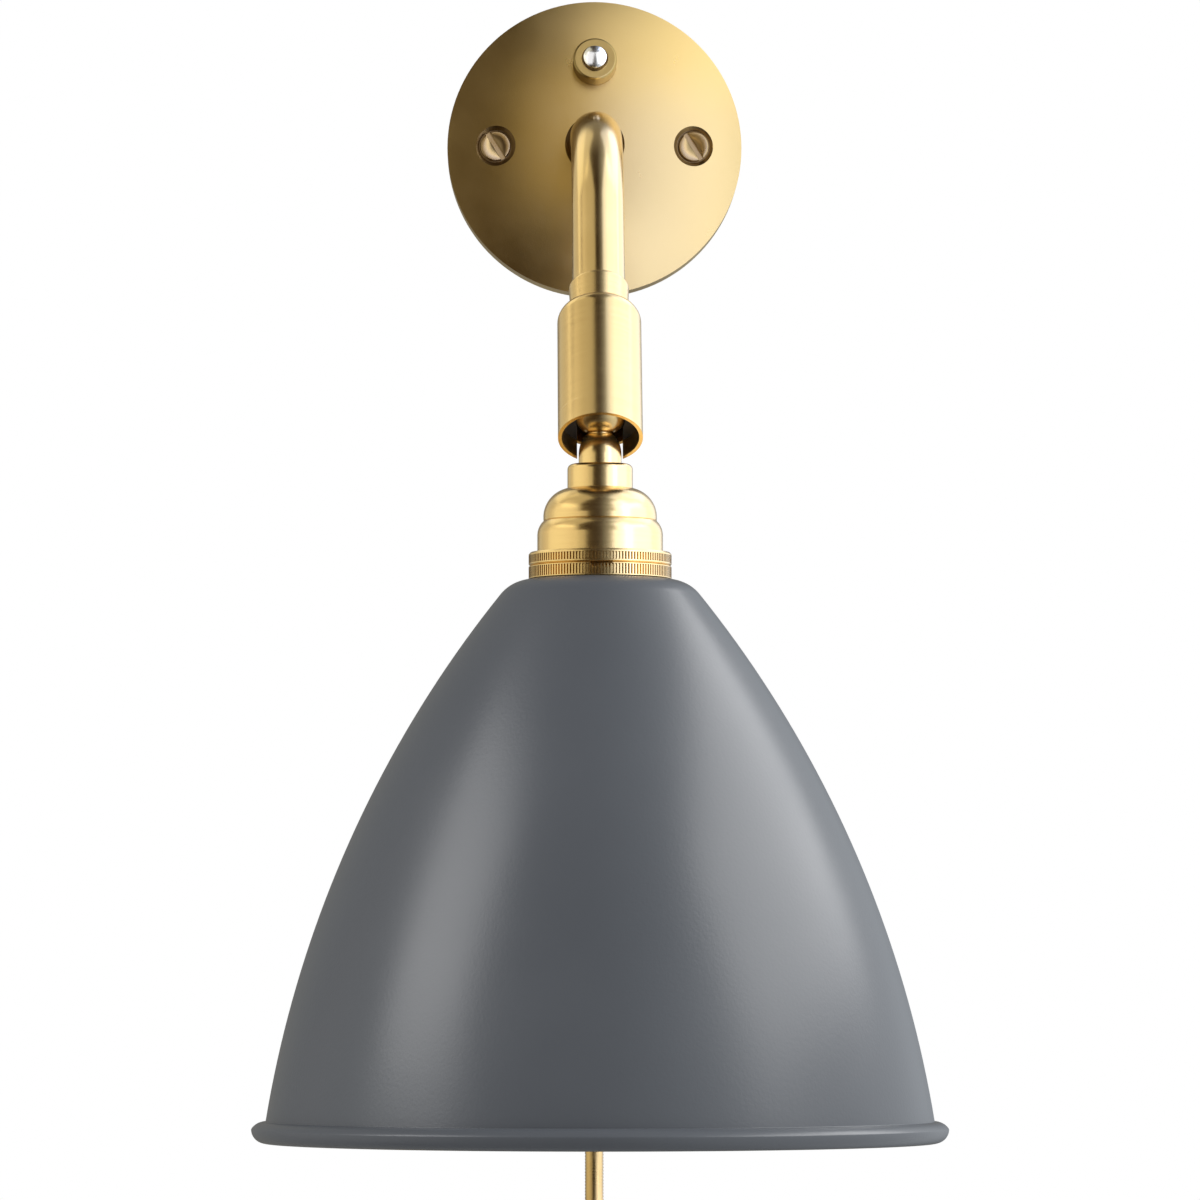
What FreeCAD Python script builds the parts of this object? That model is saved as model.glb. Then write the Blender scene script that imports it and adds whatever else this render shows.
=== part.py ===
"""Wall light with a hanging shade: a domed rose, a bent arm, a slotted ball joint and a spun shade.

The wall is the plane Y = 0, the light stands out towards -Y, X is to the right and Z is up.
The origin is the centre of the rose's back. Lengths are in millimetres and angles in degrees.
"""
import FreeCAD, Part
import math
import os
import Sketcher

# Driving sizes: name, value, meaning
SIZES = (
    ("cover_d", 72.4, "outside diameter of the wall cover"),
    ("skirt_height", 7.5, "straight skirt of the cover, from the wall"),
    ("dome_radius", 110.0, "radius of the dome over the skirt"),
    ("cover_wall", 1.1, "sheet thickness of the cover"),
    ("arm_hole_d", 14.6, "hole in the dome, wide enough for the collar to pass"),
    ("screw_span", 48.6, "distance between the two cover screws"),
    ("recess_d", 10.2, "mouth of the dished recess round a cover screw"),
    ("recess_depth", 0.9, "dished part of the recess, square to the dome"),
    ("recess_floor_d", 8.1, "floor of the recess"),
    ("recess_floor", 9.2, "height of the recess floor over the wall"),
    ("boss_d", 12.0, "boss under a cover screw"),
    ("boss_low", 7.4, "underside of the boss over the wall"),
    ("screw_head_d", 7.4, "head of a cover screw"),
    ("screw_head_height", 1.3, "height of that head"),
    ("screw_slot_width", 1.2, "driver slot"),
    ("screw_slot_depth", 0.7, "driver slot"),
    ("screw_turn", 32.0, "how far the slots are turned from upright"),
    ("screw_shank_d", 4.0, "shank of a cover screw"),
    ("post_d", 7.0, "post that takes a cover screw"),
    ("plate_gap", 0.4, "between the back plate and the cover's skirt"),
    ("plate_thick", 2.0, "back plate"),
    ("wall_hole_span", 36.0, "spacing of the wall-screw holes, both ways"),
    ("wall_hole_d", 4.6, "wall-screw hole"),
    ("socket_d", 23.0, "block that holds the arm"),
    ("socket_top", 10.4, "its height over the wall"),
    ("socket_screw_span", 17.8, "two screws from behind into the block"),
    ("socket_screw_d", 2.5, "their shank"),
    ("socket_head_d", 4.6, "their head"),
    ("set_screw_d", 3.0, "set screw against the arm"),
    ("arm_d", 12.4, "outside diameter of the arm tube"),
    ("arm_bore", 10.0, "bore of the arm tube"),
    ("arm_start", 6.4, "where the tube starts, from the wall"),
    ("bend_start", 23.0, "where the bend starts, from the wall"),
    ("bend_radius", 46.0, "centreline radius of the bend"),
    ("joint_tilt", 31.0, "angle of the arm's end from upright"),
    ("bend_to_ball", 57.4, "from the end of the bend to the ball's centre"),
    ("lead_d", 3.8, "round flex inside the arm"),
    ("lead_height", 4.1, "height of the flex over the wall, inside the rose"),
    ("lead_bend", 4.0, "its bend into the arm"),
    ("thread_gap", 0.1, "between a screw and its hole"),
    ("run_gap", 0.06, "radial gap of a running fit"),
    ("part_gap", 0.3, "between pieces that move past each other"),
    ("ball_d", 15.0, "ball"),
    ("ball_gap", 0.15, "between the ball and its seats"),
    ("sleeve_d", 19.6, "outside diameter of the sleeve"),
    ("sleeve_bore", 17.9, "bore of the sleeve"),
    ("mouth_drop", 9.8, "from the ball's centre down to the sleeve's mouth"),
    ("sleeve_shoulder", 23.3, "from the ball's centre up to the shoulder"),
    ("sleeve_top", 26.9, "from the ball's centre up to the sleeve's top"),
    ("shoulder_radius", 3.8, "rounding of the shoulder"),
    ("sleeve_roof", 3.3, "thickness of the sleeve's top"),
    ("slot_width", 10.6, "slot in the sleeve's lower wall"),
    ("slot_top", 5.3, "from the ball's centre down to the slot's end"),
    ("seat_top", 2.6, "seat ring, below the ball's centre"),
    ("seat_low", 5.2, "seat ring, lower face"),
    ("cup_low", 3.0, "pressure cup, above the ball's centre"),
    ("cup_top", 8.2, "pressure cup, upper face"),
    ("cup_bore", 8.0, "hole for the flex in the cup"),
    ("collar_d", 14.1, "collar of the spigot"),
    ("collar_waist_d", 13.5, "its waist above the sleeve"),
    ("collar_height", 7.2, "height of the collar"),
    ("collar_gap", 0.2, "seam between the collar and the sleeve"),
    ("spigot_d", 10.0, "spigot through the sleeve's top"),
    ("spigot_bore", 6.0, "flex hole in the spigot"),
    ("spigot_end", 18.1, "lower end of the spigot over the ball's centre"),
    ("stub_length", 6.0, "stub of the spigot inside the arm"),
    ("nut_low", 19.2, "swivel nut, lower face over the ball's centre"),
    ("nut_height", 3.2, "swivel nut"),
    ("nut_d", 15.2, "swivel nut"),
    ("washer_thick", 0.9, "friction washer on the nut"),
    ("spring_wire", 1.2, "wire of the joint spring"),
    ("spring_mean_d", 12.6, "mean diameter of the joint spring"),
    ("spring_turns", 4.5, "turns of the joint spring"),
    ("stem_bore", 3.4, "bore of the stem"),
    ("stem_neck_d", 5.9, "stem through the ball"),
    ("stem_up", 5.4, "top of the stem over the ball's centre"),
    ("stem_nut_d", 8.0, "nut that keeps the ball on the stem"),
    ("stem_nut_low", 2.65, "its lower face over the ball's centre"),
    ("stem_nut_height", 2.0, "its height"),
    ("counterbore_d", 8.6, "counterbore of the ball round the nut"),
    ("counterbore_floor", 2.4, "its floor over the ball's centre"),
    ("flare_top", 7.15, "top of the flare below the ball's centre"),
    ("flare_top_d", 6.7, "flare at its top"),
    ("flare_d", 9.9, "flare at its foot"),
    ("flare_round", 12.0, "where the flare is full, below the ball's centre"),
    ("stem_foot", 14.1, "foot of the stem, on the cap"),
    ("stem_thread_d", 7.9, "thread of the stem in the cap"),
    ("stem_end", 20.4, "lower end of the stem"),
    ("neck_d", 15.1, "neck of the holder cap"),
    ("neck_low", 19.7, "foot of the neck below the ball's centre"),
    ("neck_round", 1.2, "rounding of the neck's top"),
    ("dome_d", 26.2, "cap under its dome"),
    ("dome_low", 25.9, "foot of the dome below the ball's centre"),
    ("dome_bend", 6.8, "radius of the dome's outline"),
    ("step_high", 27.1, "fine groove above the step"),
    ("step_low", 30.4, "foot of the step"),
    ("step_bend", 4.6, "radius of the step's outline"),
    ("cap_d", 29.0, "cap at its foot"),
    ("cap_low", 34.6, "foot of the cap below the ball's centre"),
    ("cap_wall", 1.2, "wall of the cap"),
    ("ring_d", 33.0, "knurled rings"),
    ("upper_ring_height", 3.05, "upper ring"),
    ("lower_ring_height", 3.25, "lower ring"),
    ("ring_edge", 0.6, "rounded edge of a ring"),
    ("ring_seam", 0.25, "bevel at the seam between the rings"),
    ("notch_width", 5.2, "notch in the front of the lower ring, at the seam"),
    ("notch_height", 0.65, "height of that notch"),
    ("notch_deep", 1.3, "depth of that notch"),
    ("shade_ring_height", 3.2, "ring under the shade"),
    ("holder_d", 26.5, "threaded skirt of the lampholder"),
    ("holder_bore", 24.0, "bore of that skirt"),
    ("holder_length", 21.0, "length of that skirt"),
    ("holder_in_cap", 3.6, "how far the skirt reaches up into the cap"),
    ("insert_top", 27.6, "top of the insulating insert below the ball's centre"),
    ("insert_nose_d", 21.6, "nose of the insert inside the cap"),
    ("insert_low", 48.0, "foot of the insert"),
    ("shell_bore", 14.3, "bore of the lamp's threaded shell"),
    ("shell_wall", 0.4, "wall of that shell"),
    ("shell_top", 31.4, "top of the shell below the ball's centre"),
    ("contact_d", 5.0, "centre contact"),
    ("contact_thick", 0.9, "centre contact"),
    ("bulb_cap_d", 13.8, "threaded cap of the bulb"),
    ("bulb_tip_d", 4.6, "its tip"),
    ("bulb_tip", 30.5, "its tip below the ball's centre"),
    ("bulb_cap_low", 53.0, "foot of the bulb's cap"),
    ("globe_d", 45.0, "globe of the bulb"),
    ("bulb_length", 78.0, "whole bulb"),
    ("globe_wall", 1.0, "glass"),
    ("globe_flow", 30.0, "hollow curve from the cap to the globe"),
    ("globe_join_d", 24.0, "where that curve meets the globe"),
    ("rim_d", 160.0, "rim of the shade"),
    ("shade_height", 129.45, "shade from its flat top to its rim"),
    ("shade_wall", 1.1, "sheet thickness of the shade"),
    ("shade_corner", 9.0, "rounding between the flat top and the flank"),
    ("flank_radius", 260.0, "radius of the flank's outline"),
    ("flank_back", 180.0, "how far the point that the flank is drawn round lies beyond the axis"),
    ("flank_drop", 165.8, "how far that point lies below the flat top"),
    ("flank_lap", 0.172, "how far the flank lies outside the middle of the rolled rim"),
    ("shoulder_d", 31.98, "flat top of the shade, up to its rounding"),
    ("bead_radius", 3.2, "rolled rim, from its widest edge down"),
    ("lip_height", 1.7, "rolled rim, from the flank down to its widest edge"),
    ("lip_radius", 3.6, "its round upper face"),
    ("switch_up", 20.0, "switch above the rose's centre"),
    ("switch_nut_d", 10.7, "dress nut"),
    ("switch_nut_height", 4.6, "dress nut"),
    ("switch_mouth_d", 6.5, "hole in the nut's face"),
    ("switch_lip", 0.8, "thickness of the nut's face"),
    ("bushing_d", 7.7, "threaded bushing of the switch"),
    ("bushing_low", 4.0, "its lower end under the dome"),
    ("flange_d", 11.0, "flange of the bushing"),
    ("button_d", 5.7, "button"),
    ("button_proud", 2.2, "how far the button stands out of the nut"),
    ("button_low", 3.4, "its lower end under the dome"),
    ("button_crown", 5.5, "radius of its crowned face"),
    ("pusher_d", 2.4, "pin under the button"),
    ("pusher_length", 2.0, "that pin"),
    ("press", 1.6, "travel of the button"),
    ("switch_width", 12.0, "switch body"),
    ("switch_deep", 10.0, "switch body"),
    ("switch_tall", 6.0, "switch body"),
    ("switch_seat", 1.9, "switch body under the dome"),
    ("lug_length", 2.4, "terminal lugs of the switch"),
    ("block_width", 16.0, "terminal block"),
    ("block_deep", 9.0, "terminal block"),
    ("block_tall", 7.0, "terminal block"),
    ("block_down", 17.5, "terminal block below the rose's centre"),
    ("cord_d", 4.6, "cord over its spiral cover"),
    ("cord_out", 4.5, "cord's axis from the wall"),
    ("cord_core_d", 3.6, "flex inside the rose and the ferrule"),
    ("ferrule_length", 22.0, "ferrule under the rose"),
    ("ferrule_d", 8.0, "ferrule at its top"),
    ("ferrule_tip_d", 5.8, "ferrule at its tip"),
    ("ferrule_neck_d", 5.9, "ferrule through the skirt"),
    ("clamp_rim", 8.1, "from the inside of the cover's skirt to the middle of the cord clamp"),
    ("clamp_width", 14.0, "cord clamp"),
    ("clamp_deep", 6.0, "cord clamp"),
    ("clamp_top", 7.2, "cord clamp"),
    ("cord_drop", 300.0, "middle of the put-away coil below the rose's centre"),
    ("coil_outer", 32.4, "radius of the coil's outer turns"),
    ("coil_inner", 19.6, "radius of its inner turns"),
    ("coil_pitch", 5.1, "from one layer of the coil to the next"),
    ("coil_lead", 5.0, "straight ends of the coil"),
    ("coil_tail", 40.0, "from the coil's middle down to the plug"),
    ("tie_width", 9.0, "tie round the coil"),
    ("tie_thick", 1.2, "tie"),
    ("plug_width", 35.3, "plug body"),
    ("plug_thick", 13.7, "plug body"),
    ("plug_length", 35.0, "plug body"),
    ("plug_sleeve", 16.0, "tapered sleeve of the plug"),
    ("pin_d", 4.0, "plug pin"),
    ("pin_length", 19.0, "plug pin"),
    ("pin_span", 18.6, "plug pins"),
)
COIL_LAYERS = 4
COIL_TURNS = 9
STEPS_PER_TURN = 4
LIMIT_SLIVER = 1e-6

doc = FreeCAD.newDocument("wall_light")
sheet = doc.addObject("Spreadsheet::Sheet", "Sizes")
worked_sheet = doc.addObject("Spreadsheet::Sheet", "Worked")
Vector = FreeCAD.Vector


class Size:
    """A length or angle that knows its value and the expression that gives it from the sheet."""

    def __init__(self, value, text):
        self.value = float(value)
        self.text = text

    def __add__(self, other):
        other = size(other)
        return Size(self.value + other.value, f"({self.text} + {other.text})")

    def __radd__(self, other):
        return size(other) + self

    def __sub__(self, other):
        other = size(other)
        return Size(self.value - other.value, f"({self.text} - {other.text})")

    def __rsub__(self, other):
        return size(other) - self

    def __mul__(self, other):
        other = size(other)
        return Size(self.value * other.value, f"({self.text} * {other.text})")

    def __rmul__(self, other):
        return size(other) * self

    def __truediv__(self, other):
        other = size(other)
        return Size(self.value / other.value, f"({self.text} / {other.text})")

    def __neg__(self):
        return size(0) - self


def size(thing):
    """Turn a plain number into a Size; a Size stays as it is."""
    return thing if isinstance(thing, Size) else Size(thing, repr(float(thing)))


def root(thing):
    """Square root of a Size."""
    return Size(math.sqrt(thing.value), f"sqrt({thing.text})")


def sine(angle):
    """Sine of an angle in degrees."""
    return Size(math.sin(math.radians(angle.value)), f"sin({angle.text})")


def cosine(angle):
    """Cosine of an angle in degrees."""
    return Size(math.cos(math.radians(angle.value)), f"cos({angle.text})")


def leg(hypotenuse, other):
    """Other short side of a right triangle."""
    return root(hypotenuse * hypotenuse - other * other)


def fill_sheet():
    """Write the driving sizes to the sheet, and return them as Sizes by name."""
    sizes = {}
    for row, (name, value, meaning) in enumerate(SIZES, start=1):
        sheet.set(f"A{row}", meaning)
        sheet.set(f"B{row}", str(value))
        sheet.setAlias(f"B{row}", name)
        sizes[name] = Size(value, f"Sizes.{name}")
    doc.recompute()
    return sizes


S = fill_sheet()
worked_names = []


def worked(name, thing, meaning):
    """Write a size that follows from others to a sheet of its own, and return it by its name there."""
    worked_names.append(name)
    row = len(worked_names)
    worked_sheet.set(f"A{row}", meaning)
    worked_sheet.set(f"B{row}", "=" + thing.text)
    worked_sheet.setAlias(f"B{row}", name)
    worked_sheet.recompute()
    return Size(thing.value, f"Worked.{name}")


CLAMP_DOWN = worked("clamp_down", S["cover_d"] / 2 - S["cover_wall"] - S["clamp_rim"],
                    "cord clamp below the rose's centre")

# Lines and arcs of an outline


def line(along, up):
    """A straight step of an outline to a point."""
    return (size(along), size(up), None, 0)


def arc(along, up, radius, turn):
    """A round step to a point: turn is 1 for counterclockwise and -1 for clockwise."""
    return (size(along), size(up), size(radius), turn)


def origin_plane(body, role):
    """One of the origin planes of a body."""
    return [feature for feature in body.Origin.OriginFeatures if feature.Role == role][0]


def round_edge(start, end, radius, turn):
    """Arc geometry between two points, and whether it runs from start to end."""
    chord = end - start
    middle = (start + end) * 0.5
    reach = math.sqrt(max(radius ** 2 - (chord.Length / 2) ** 2, 0.0))
    left = Vector(-chord.y, chord.x, 0).normalize()
    centre = middle + left * (reach * turn)
    first = math.atan2(start.y - centre.y, start.x - centre.x)
    last = math.atan2(end.y - centre.y, end.x - centre.x)
    circle = Part.Circle(centre, Vector(0, 0, 1), radius)
    if turn > 0:
        return Part.ArcOfCircle(circle, first, last), True
    return Part.ArcOfCircle(circle, last, first), False


def hold_point(sketch, geometry, end, along, up):
    """Fix one end of a sketch line or arc at sizes from the sheet."""
    if along.text == "0.0":
        sketch.addConstraint(Sketcher.Constraint("PointOnObject", geometry, end, -2))
    else:
        place = Sketcher.Constraint("DistanceX", -1, 1, geometry, end, along.value)
        sketch.setExpression(f"Constraints[{sketch.addConstraint(place)}]", along.text)
    if up.text == "0.0":
        sketch.addConstraint(Sketcher.Constraint("PointOnObject", geometry, end, -1))
    else:
        place = Sketcher.Constraint("DistanceY", -1, 1, geometry, end, up.value)
        sketch.setExpression(f"Constraints[{sketch.addConstraint(place)}]", up.text)


def draw(body, role, outline, name, closed=True):
    """Sketch an outline on one of the body's origin planes, every point and radius tied to the sheet."""
    sketch = body.newObject("Sketcher::SketchObject", name)
    sketch.AttachmentSupport = [(origin_plane(body, role), "")]
    sketch.MapMode = "FlatFace"
    points = [Vector(step[0].value, step[1].value, 0) for step in outline]
    edges = []
    steps = len(outline) if closed else len(outline) - 1
    for index in range(steps):
        following = (index + 1) % len(outline)
        radius, turn = outline[following][2:]
        start, end = points[index], points[following]
        if radius is None:
            geometry = sketch.addGeometry(Part.LineSegment(start, end), False)
            edges.append((geometry, 1, 2))
        else:
            shape, forward = round_edge(start, end, radius.value, turn)
            geometry = sketch.addGeometry(shape, False)
            edges.append((geometry, 1, 2) if forward else (geometry, 2, 1))
    for index in range(len(edges) if closed else len(edges) - 1):
        here, there = edges[index], edges[(index + 1) % len(edges)]
        sketch.addConstraint(Sketcher.Constraint("Coincident", here[0], here[2], there[0], there[1]))
    for index, (geometry, first, last) in enumerate(edges):
        hold_point(sketch, geometry, first, outline[index][0], outline[index][1])
        radius = outline[(index + 1) % len(outline)][2]
        if radius is not None:
            held = sketch.addConstraint(Sketcher.Constraint("Radius", geometry, radius.value))
            sketch.setExpression(f"Constraints[{held}]", radius.text)
    if not closed:
        geometry, first, last = edges[-1]
        hold_point(sketch, geometry, last, outline[-1][0], outline[-1][1])
    return sketch


def turned(label, outline, place=FreeCAD.Placement()):
    """A turned piece: the outline of radius against height, revolved round the body's Z."""
    body = doc.addObject("PartDesign::Body", label)
    body.Label = label
    sketch = draw(body, "XZ_Plane", outline, label + "_outline")
    spin = body.newObject("PartDesign::Revolution", label + "_turn")
    spin.Profile = sketch
    spin.ReferenceAxis = (sketch, ["V_Axis"])
    spin.Angle = 360
    body.Placement = place
    return body


def bind(item, **sizes):
    """Tie properties of an object to sizes from the sheet."""
    for name, value in sizes.items():
        item.setExpression(name, size(value).text)
    return item


def at(item, along=0, deep=0, up=0):
    """Put a primitive at a point of the frame that its piece is drawn in."""
    bind(item, **{"Placement.Base.x": along, "Placement.Base.y": deep, "Placement.Base.z": up})
    return item


def box(name, width, deep, tall, along=0, across=0, up=0):
    """A box centred on along and across, standing on up."""
    item = bind(doc.addObject("Part::Box", name), Length=width, Width=deep, Height=tall)
    return at(item, size(along) - size(width) / 2, size(across) - size(deep) / 2, up)


def rod(name, diameter, height, along=0, across=0, up=0):
    """A cylinder along the local Z."""
    item = bind(doc.addObject("Part::Cylinder", name), Radius=size(diameter) / 2, Height=height)
    return at(item, along, across, up)


def lying_rod(name, diameter, length, along=0, across=0, up=0):
    """A cylinder that runs from its place towards the local -Y."""
    item = rod(name, diameter, length, along, across, up)
    item.Placement.Rotation = FreeCAD.Rotation(Vector(1, 0, 0), 90)
    return item


def joined(label, pieces, place=FreeCAD.Placement()):
    """Several solids fused to one."""
    item = doc.addObject("Part::MultiFuse", label)
    item.Shapes = pieces
    item.Label = label
    item.Placement = place
    return item


def cut(label, stock, tools, place=FreeCAD.Placement()):
    """A solid with one or more tools cut out of it."""
    item = doc.addObject("Part::Cut", label)
    item.Base = stock
    item.Tool = tools[0] if len(tools) == 1 else joined(label + "_tools", tools)
    item.Label = label
    item.Placement = place
    return item


def grouped(label, pieces, place=FreeCAD.Placement()):
    """Like pieces that share a node as separate solids."""
    item = doc.addObject("Part::Compound", label)
    item.Links = pieces
    item.Label = label
    item.Placement = place
    return item


def swept(label, wire, radius):
    """A round tube along a wire of tangent lines and arcs, at a radius from the sheet."""
    start = wire.Vertexes[0].Point
    direction = wire.Edges[0].tangentAt(wire.Edges[0].FirstParameter)
    section = Part.Wire(Part.makeCircle(radius, start, direction))
    item = doc.addObject("Part::Feature", label)
    item.Shape = wire.makePipeShell([section], True, False)
    item.Label = label
    return item


# Frames that pieces are drawn in

ON_WALL = FreeCAD.Placement(Vector(), FreeCAD.Rotation(Vector(1, 0, 0), 90))


def ball_place():
    """Centre of the ball, from the arm's bend and the length after it."""
    tilt = math.radians(S["joint_tilt"].value)
    bend, straight = S["bend_radius"].value, S["bend_to_ball"].value
    out = S["bend_start"].value + bend * math.cos(tilt) + straight * math.sin(tilt)
    down = bend * (1 - math.sin(tilt)) + straight * math.cos(tilt)
    return Vector(0, -out, -down)


BALL = ball_place()
IN_SLEEVE = FreeCAD.Placement(BALL, FreeCAD.Rotation(Vector(1, 0, 0), -S["joint_tilt"].value))
IN_HEAD = FreeCAD.Placement(BALL, FreeCAD.Rotation())


def dome_height(radius, inner=False):
    """Height of the dome over the wall at a radius, on its outer or inner side."""
    ball = S["dome_radius"] - S["cover_wall"] if inner else S["dome_radius"]
    centre = S["skirt_height"] - leg(S["dome_radius"], S["cover_d"] / 2)
    return centre + leg(ball, size(radius))


def switch_place():
    """The point of the dome where the switch sits, with Z along the dome's normal."""
    lean = math.degrees(math.asin(S["switch_up"].value / S["dome_radius"].value))
    point = Vector(0, -dome_height(S["switch_up"]).value, S["switch_up"].value)
    return FreeCAD.Placement(point, FreeCAD.Rotation(Vector(1, 0, 0), 90 - lean))


AT_SWITCH = switch_place()

# The rose


def dome_outline(shelled):
    """Outline of the cover, as a shell or as the solid block that it bounds."""
    radius, hole = S["cover_d"] / 2, S["arm_hole_d"] / 2
    inner = radius - S["cover_wall"]
    outside = [
        line(hole, dome_height(hole)),
        arc(radius, S["skirt_height"], S["dome_radius"], -1),
        line(radius, 0),
    ]
    if not shelled:
        return outside + [line(hole, 0)]
    return outside + [
        line(inner, 0),
        line(inner, dome_height(inner, inner=True)),
        arc(hole, dome_height(hole, inner=True), S["dome_radius"] - S["cover_wall"], 1),
    ]


def screw_places():
    """Where the two cover screws stand."""
    return (-S["screw_span"] / 2, S["screw_span"] / 2)


def recess(x):
    """Dish round a cover screw, square to the dome."""
    mouth, floor, depth = S["recess_d"] / 2, S["recess_floor_d"] / 2, S["recess_depth"]
    lean = math.degrees(math.asin(x.value / S["dome_radius"].value))
    place = FreeCAD.Placement(Vector(x.value, 0, dome_height(S["screw_span"] / 2).value),
                              FreeCAD.Rotation(Vector(0, 1, 0), lean))
    return turned("recess", [
        line(0, -depth), line(floor, -depth), line(mouth * 2 - floor, depth), line(0, depth)], place)


def wall_cover():
    """Domed cover with dished screw recesses, a switch hole and a way out for the cord."""
    shell = turned("cover_shell", dome_outline(shelled=True))
    block = turned("cover_block", dome_outline(shelled=False))
    tall = S["dome_radius"] / 4
    bosses = [rod("cover_boss", S["boss_d"], tall, x, 0, S["boss_low"]) for x in screw_places()]
    common = doc.addObject("Part::Common", "cover_bosses")
    common.Base = block
    common.Tool = joined("cover_boss_pair", bosses)
    body = joined("cover_body", [shell, common])
    tools = []
    for x in screw_places():
        tools.append(recess(x))
        tools.append(rod("recess_well", S["recess_floor_d"], tall, x, 0, S["recess_floor"]))
        tools.append(rod("cover_hole", S["screw_shank_d"] + S["thread_gap"] * 2, tall, x, 0, 0))
    bushing_hole = turned("switch_hole", [
        line(0, -S["cover_wall"] * 3), line(0, S["cover_wall"] * 3),
        line(S["bushing_d"] / 2 + S["thread_gap"], S["cover_wall"] * 3),
        line(S["bushing_d"] / 2 + S["thread_gap"], -S["cover_wall"] * 3)],
        ON_WALL.inverse().multiply(AT_SWITCH))
    tools.append(bushing_hole)
    tools.append(lying_rod("cord_hole", S["ferrule_neck_d"] + S["thread_gap"], S["cover_d"] / 2,
                           0, -CLAMP_DOWN, S["cord_out"]))
    return cut("wall_cover", body, tools, ON_WALL)


def cover_screw(x):
    """Slotted cheese-head screw, its slot turned from upright."""
    low = S["plate_thick"]
    head = S["screw_head_d"] / 2
    shank = S["screw_shank_d"] / 2
    seat = S["recess_floor"]
    top = seat + S["screw_head_height"]
    edge = S["screw_slot_depth"] / 3
    screw = turned("cover_screw", [
        line(0, low), line(shank, low), line(shank, seat), line(head, seat),
        line(head, top - edge), line(head - edge, top), line(0, top)])
    slot = box("cover_screw_slot", S["screw_slot_width"], S["screw_head_d"] * 2,
               S["screw_head_height"], 0, 0, top - S["screw_slot_depth"])
    slot_turn = doc.addObject("Part::Compound", "cover_screw_slot_turn")
    slot_turn.Links = [slot]
    slot_turn.Placement.Rotation = FreeCAD.Rotation(Vector(0, 0, 1), S["screw_turn"].value)
    piece = cut("cover_screw_cut", screw, [slot_turn])
    piece.Placement.Base = Vector(x.value, 0, 0)
    return piece


def cover_post(x):
    """Post on the back plate, bored for its screw."""
    tall = S["boss_low"] - S["plate_thick"]
    post = rod("cover_post", S["post_d"], tall, x, 0, S["plate_thick"])
    hole = rod("cover_post_hole", S["screw_shank_d"] + S["thread_gap"] * 2, tall, x, 0, S["plate_thick"])
    return cut("cover_post_bored", post, [hole])


def back_plate():
    """Steel plate with four wall-screw holes and windows for the switch and the cord."""
    radius = S["cover_d"] / 2 - S["cover_wall"] - S["plate_gap"]
    thick = S["plate_thick"]
    disc = rod("plate_disc", radius * 2, thick)
    half = S["wall_hole_span"] / 2
    tools = [rod("wall_hole", S["wall_hole_d"], thick, x, y, 0) for x in (-half, half) for y in (-half, half)]
    span = S["socket_screw_span"] / 2
    for x in (-span, span):
        tools.append(rod("socket_screw_hole", S["socket_screw_d"] + S["thread_gap"] * 2, thick, x, 0, 0))
        tools.append(rod("socket_head_hole", S["socket_head_d"] + S["thread_gap"] * 2, thick * 0.7, x, 0, 0))
    tools.append(box("switch_window", S["switch_width"] * 1.4, S["switch_deep"] * 1.4, thick,
                     0, S["switch_up"], 0))
    tools.append(box("cord_window", S["ferrule_d"] + S["plate_gap"] * 2, S["cover_d"] / 2, thick,
                     0, -CLAMP_DOWN - S["clamp_deep"] / 2 - S["plate_gap"] - S["cover_d"] / 4, 0))
    return cut("back_plate", disc, tools, ON_WALL)


def arm_socket():
    """Block that holds the arm, with a channel for the flex and holes for its screws."""
    low, top = S["plate_thick"], S["socket_top"]
    block = rod("socket_block", S["socket_d"], top - low, 0, 0, low)
    channel_top = S["lead_height"] + S["lead_d"] / 2 + S["thread_gap"] * 2
    tools = [
        rod("socket_bore", S["arm_d"], top, 0, 0, S["arm_start"]),
        rod("socket_well", S["lead_d"] * 1.7, top, 0, 0, low),
        box("socket_channel", S["lead_d"] + S["thread_gap"] * 4, S["socket_d"], channel_top - low,
            0, -S["socket_d"] / 2, low),
        lying_rod("set_screw_hole", S["set_screw_d"], S["socket_d"] / 2, 0, S["socket_d"] / 2,
                  (S["arm_start"] + top) / 2),
    ]
    span = S["socket_screw_span"] / 2
    for x in (-span, span):
        tools.append(rod("socket_thread", S["socket_screw_d"], top - low * 1.5, x, 0, 0))
    return cut("arm_socket", block, tools, ON_WALL)


def socket_screw(x):
    """Screw from behind the plate into the arm's block."""
    head_low = S["plate_thick"] * 0.15
    head_top = S["plate_thick"] * 0.7
    shank = S["socket_screw_d"] / 2
    head = S["socket_head_d"] / 2
    end = S["socket_top"] - S["plate_thick"] * 1.5
    screw = turned("socket_screw", [
        line(0, head_low), line(head, head_low), line(head, head_top), line(shank, head_top),
        line(shank, end), line(0, end)])
    screw.Placement.Base = Vector(x.value, 0, 0)
    return screw


def arm_set_screw():
    """Set screw through the block on to the arm."""
    length = S["socket_d"] / 2 - S["arm_d"] / 2
    screw = lying_rod("set_screw_rod", S["set_screw_d"], length, 0, S["socket_d"] / 2,
                      (S["arm_start"] + S["socket_top"]) / 2)
    hexagon = lying_rod("set_screw_key", S["set_screw_d"] / 2, length / 2, 0, S["socket_d"] / 2,
                        (S["arm_start"] + S["socket_top"]) / 2)
    return cut("arm_set_screw", screw, [hexagon], ON_WALL)


def terminal_block():
    """Terminal block of the rose, with two screw wells."""
    block = box("terminal_stock", S["block_width"], S["block_deep"], S["block_tall"],
                0, -S["block_down"], S["plate_thick"])
    top = S["plate_thick"] + S["block_tall"]
    wells = [rod("terminal_well", S["post_d"] / 2, S["block_tall"] / 2, x, -S["block_down"],
                 top - S["block_tall"] / 2) for x in (-S["block_width"] / 4, S["block_width"] / 4)]
    return cut("terminal_block", block, wells, ON_WALL)


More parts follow.
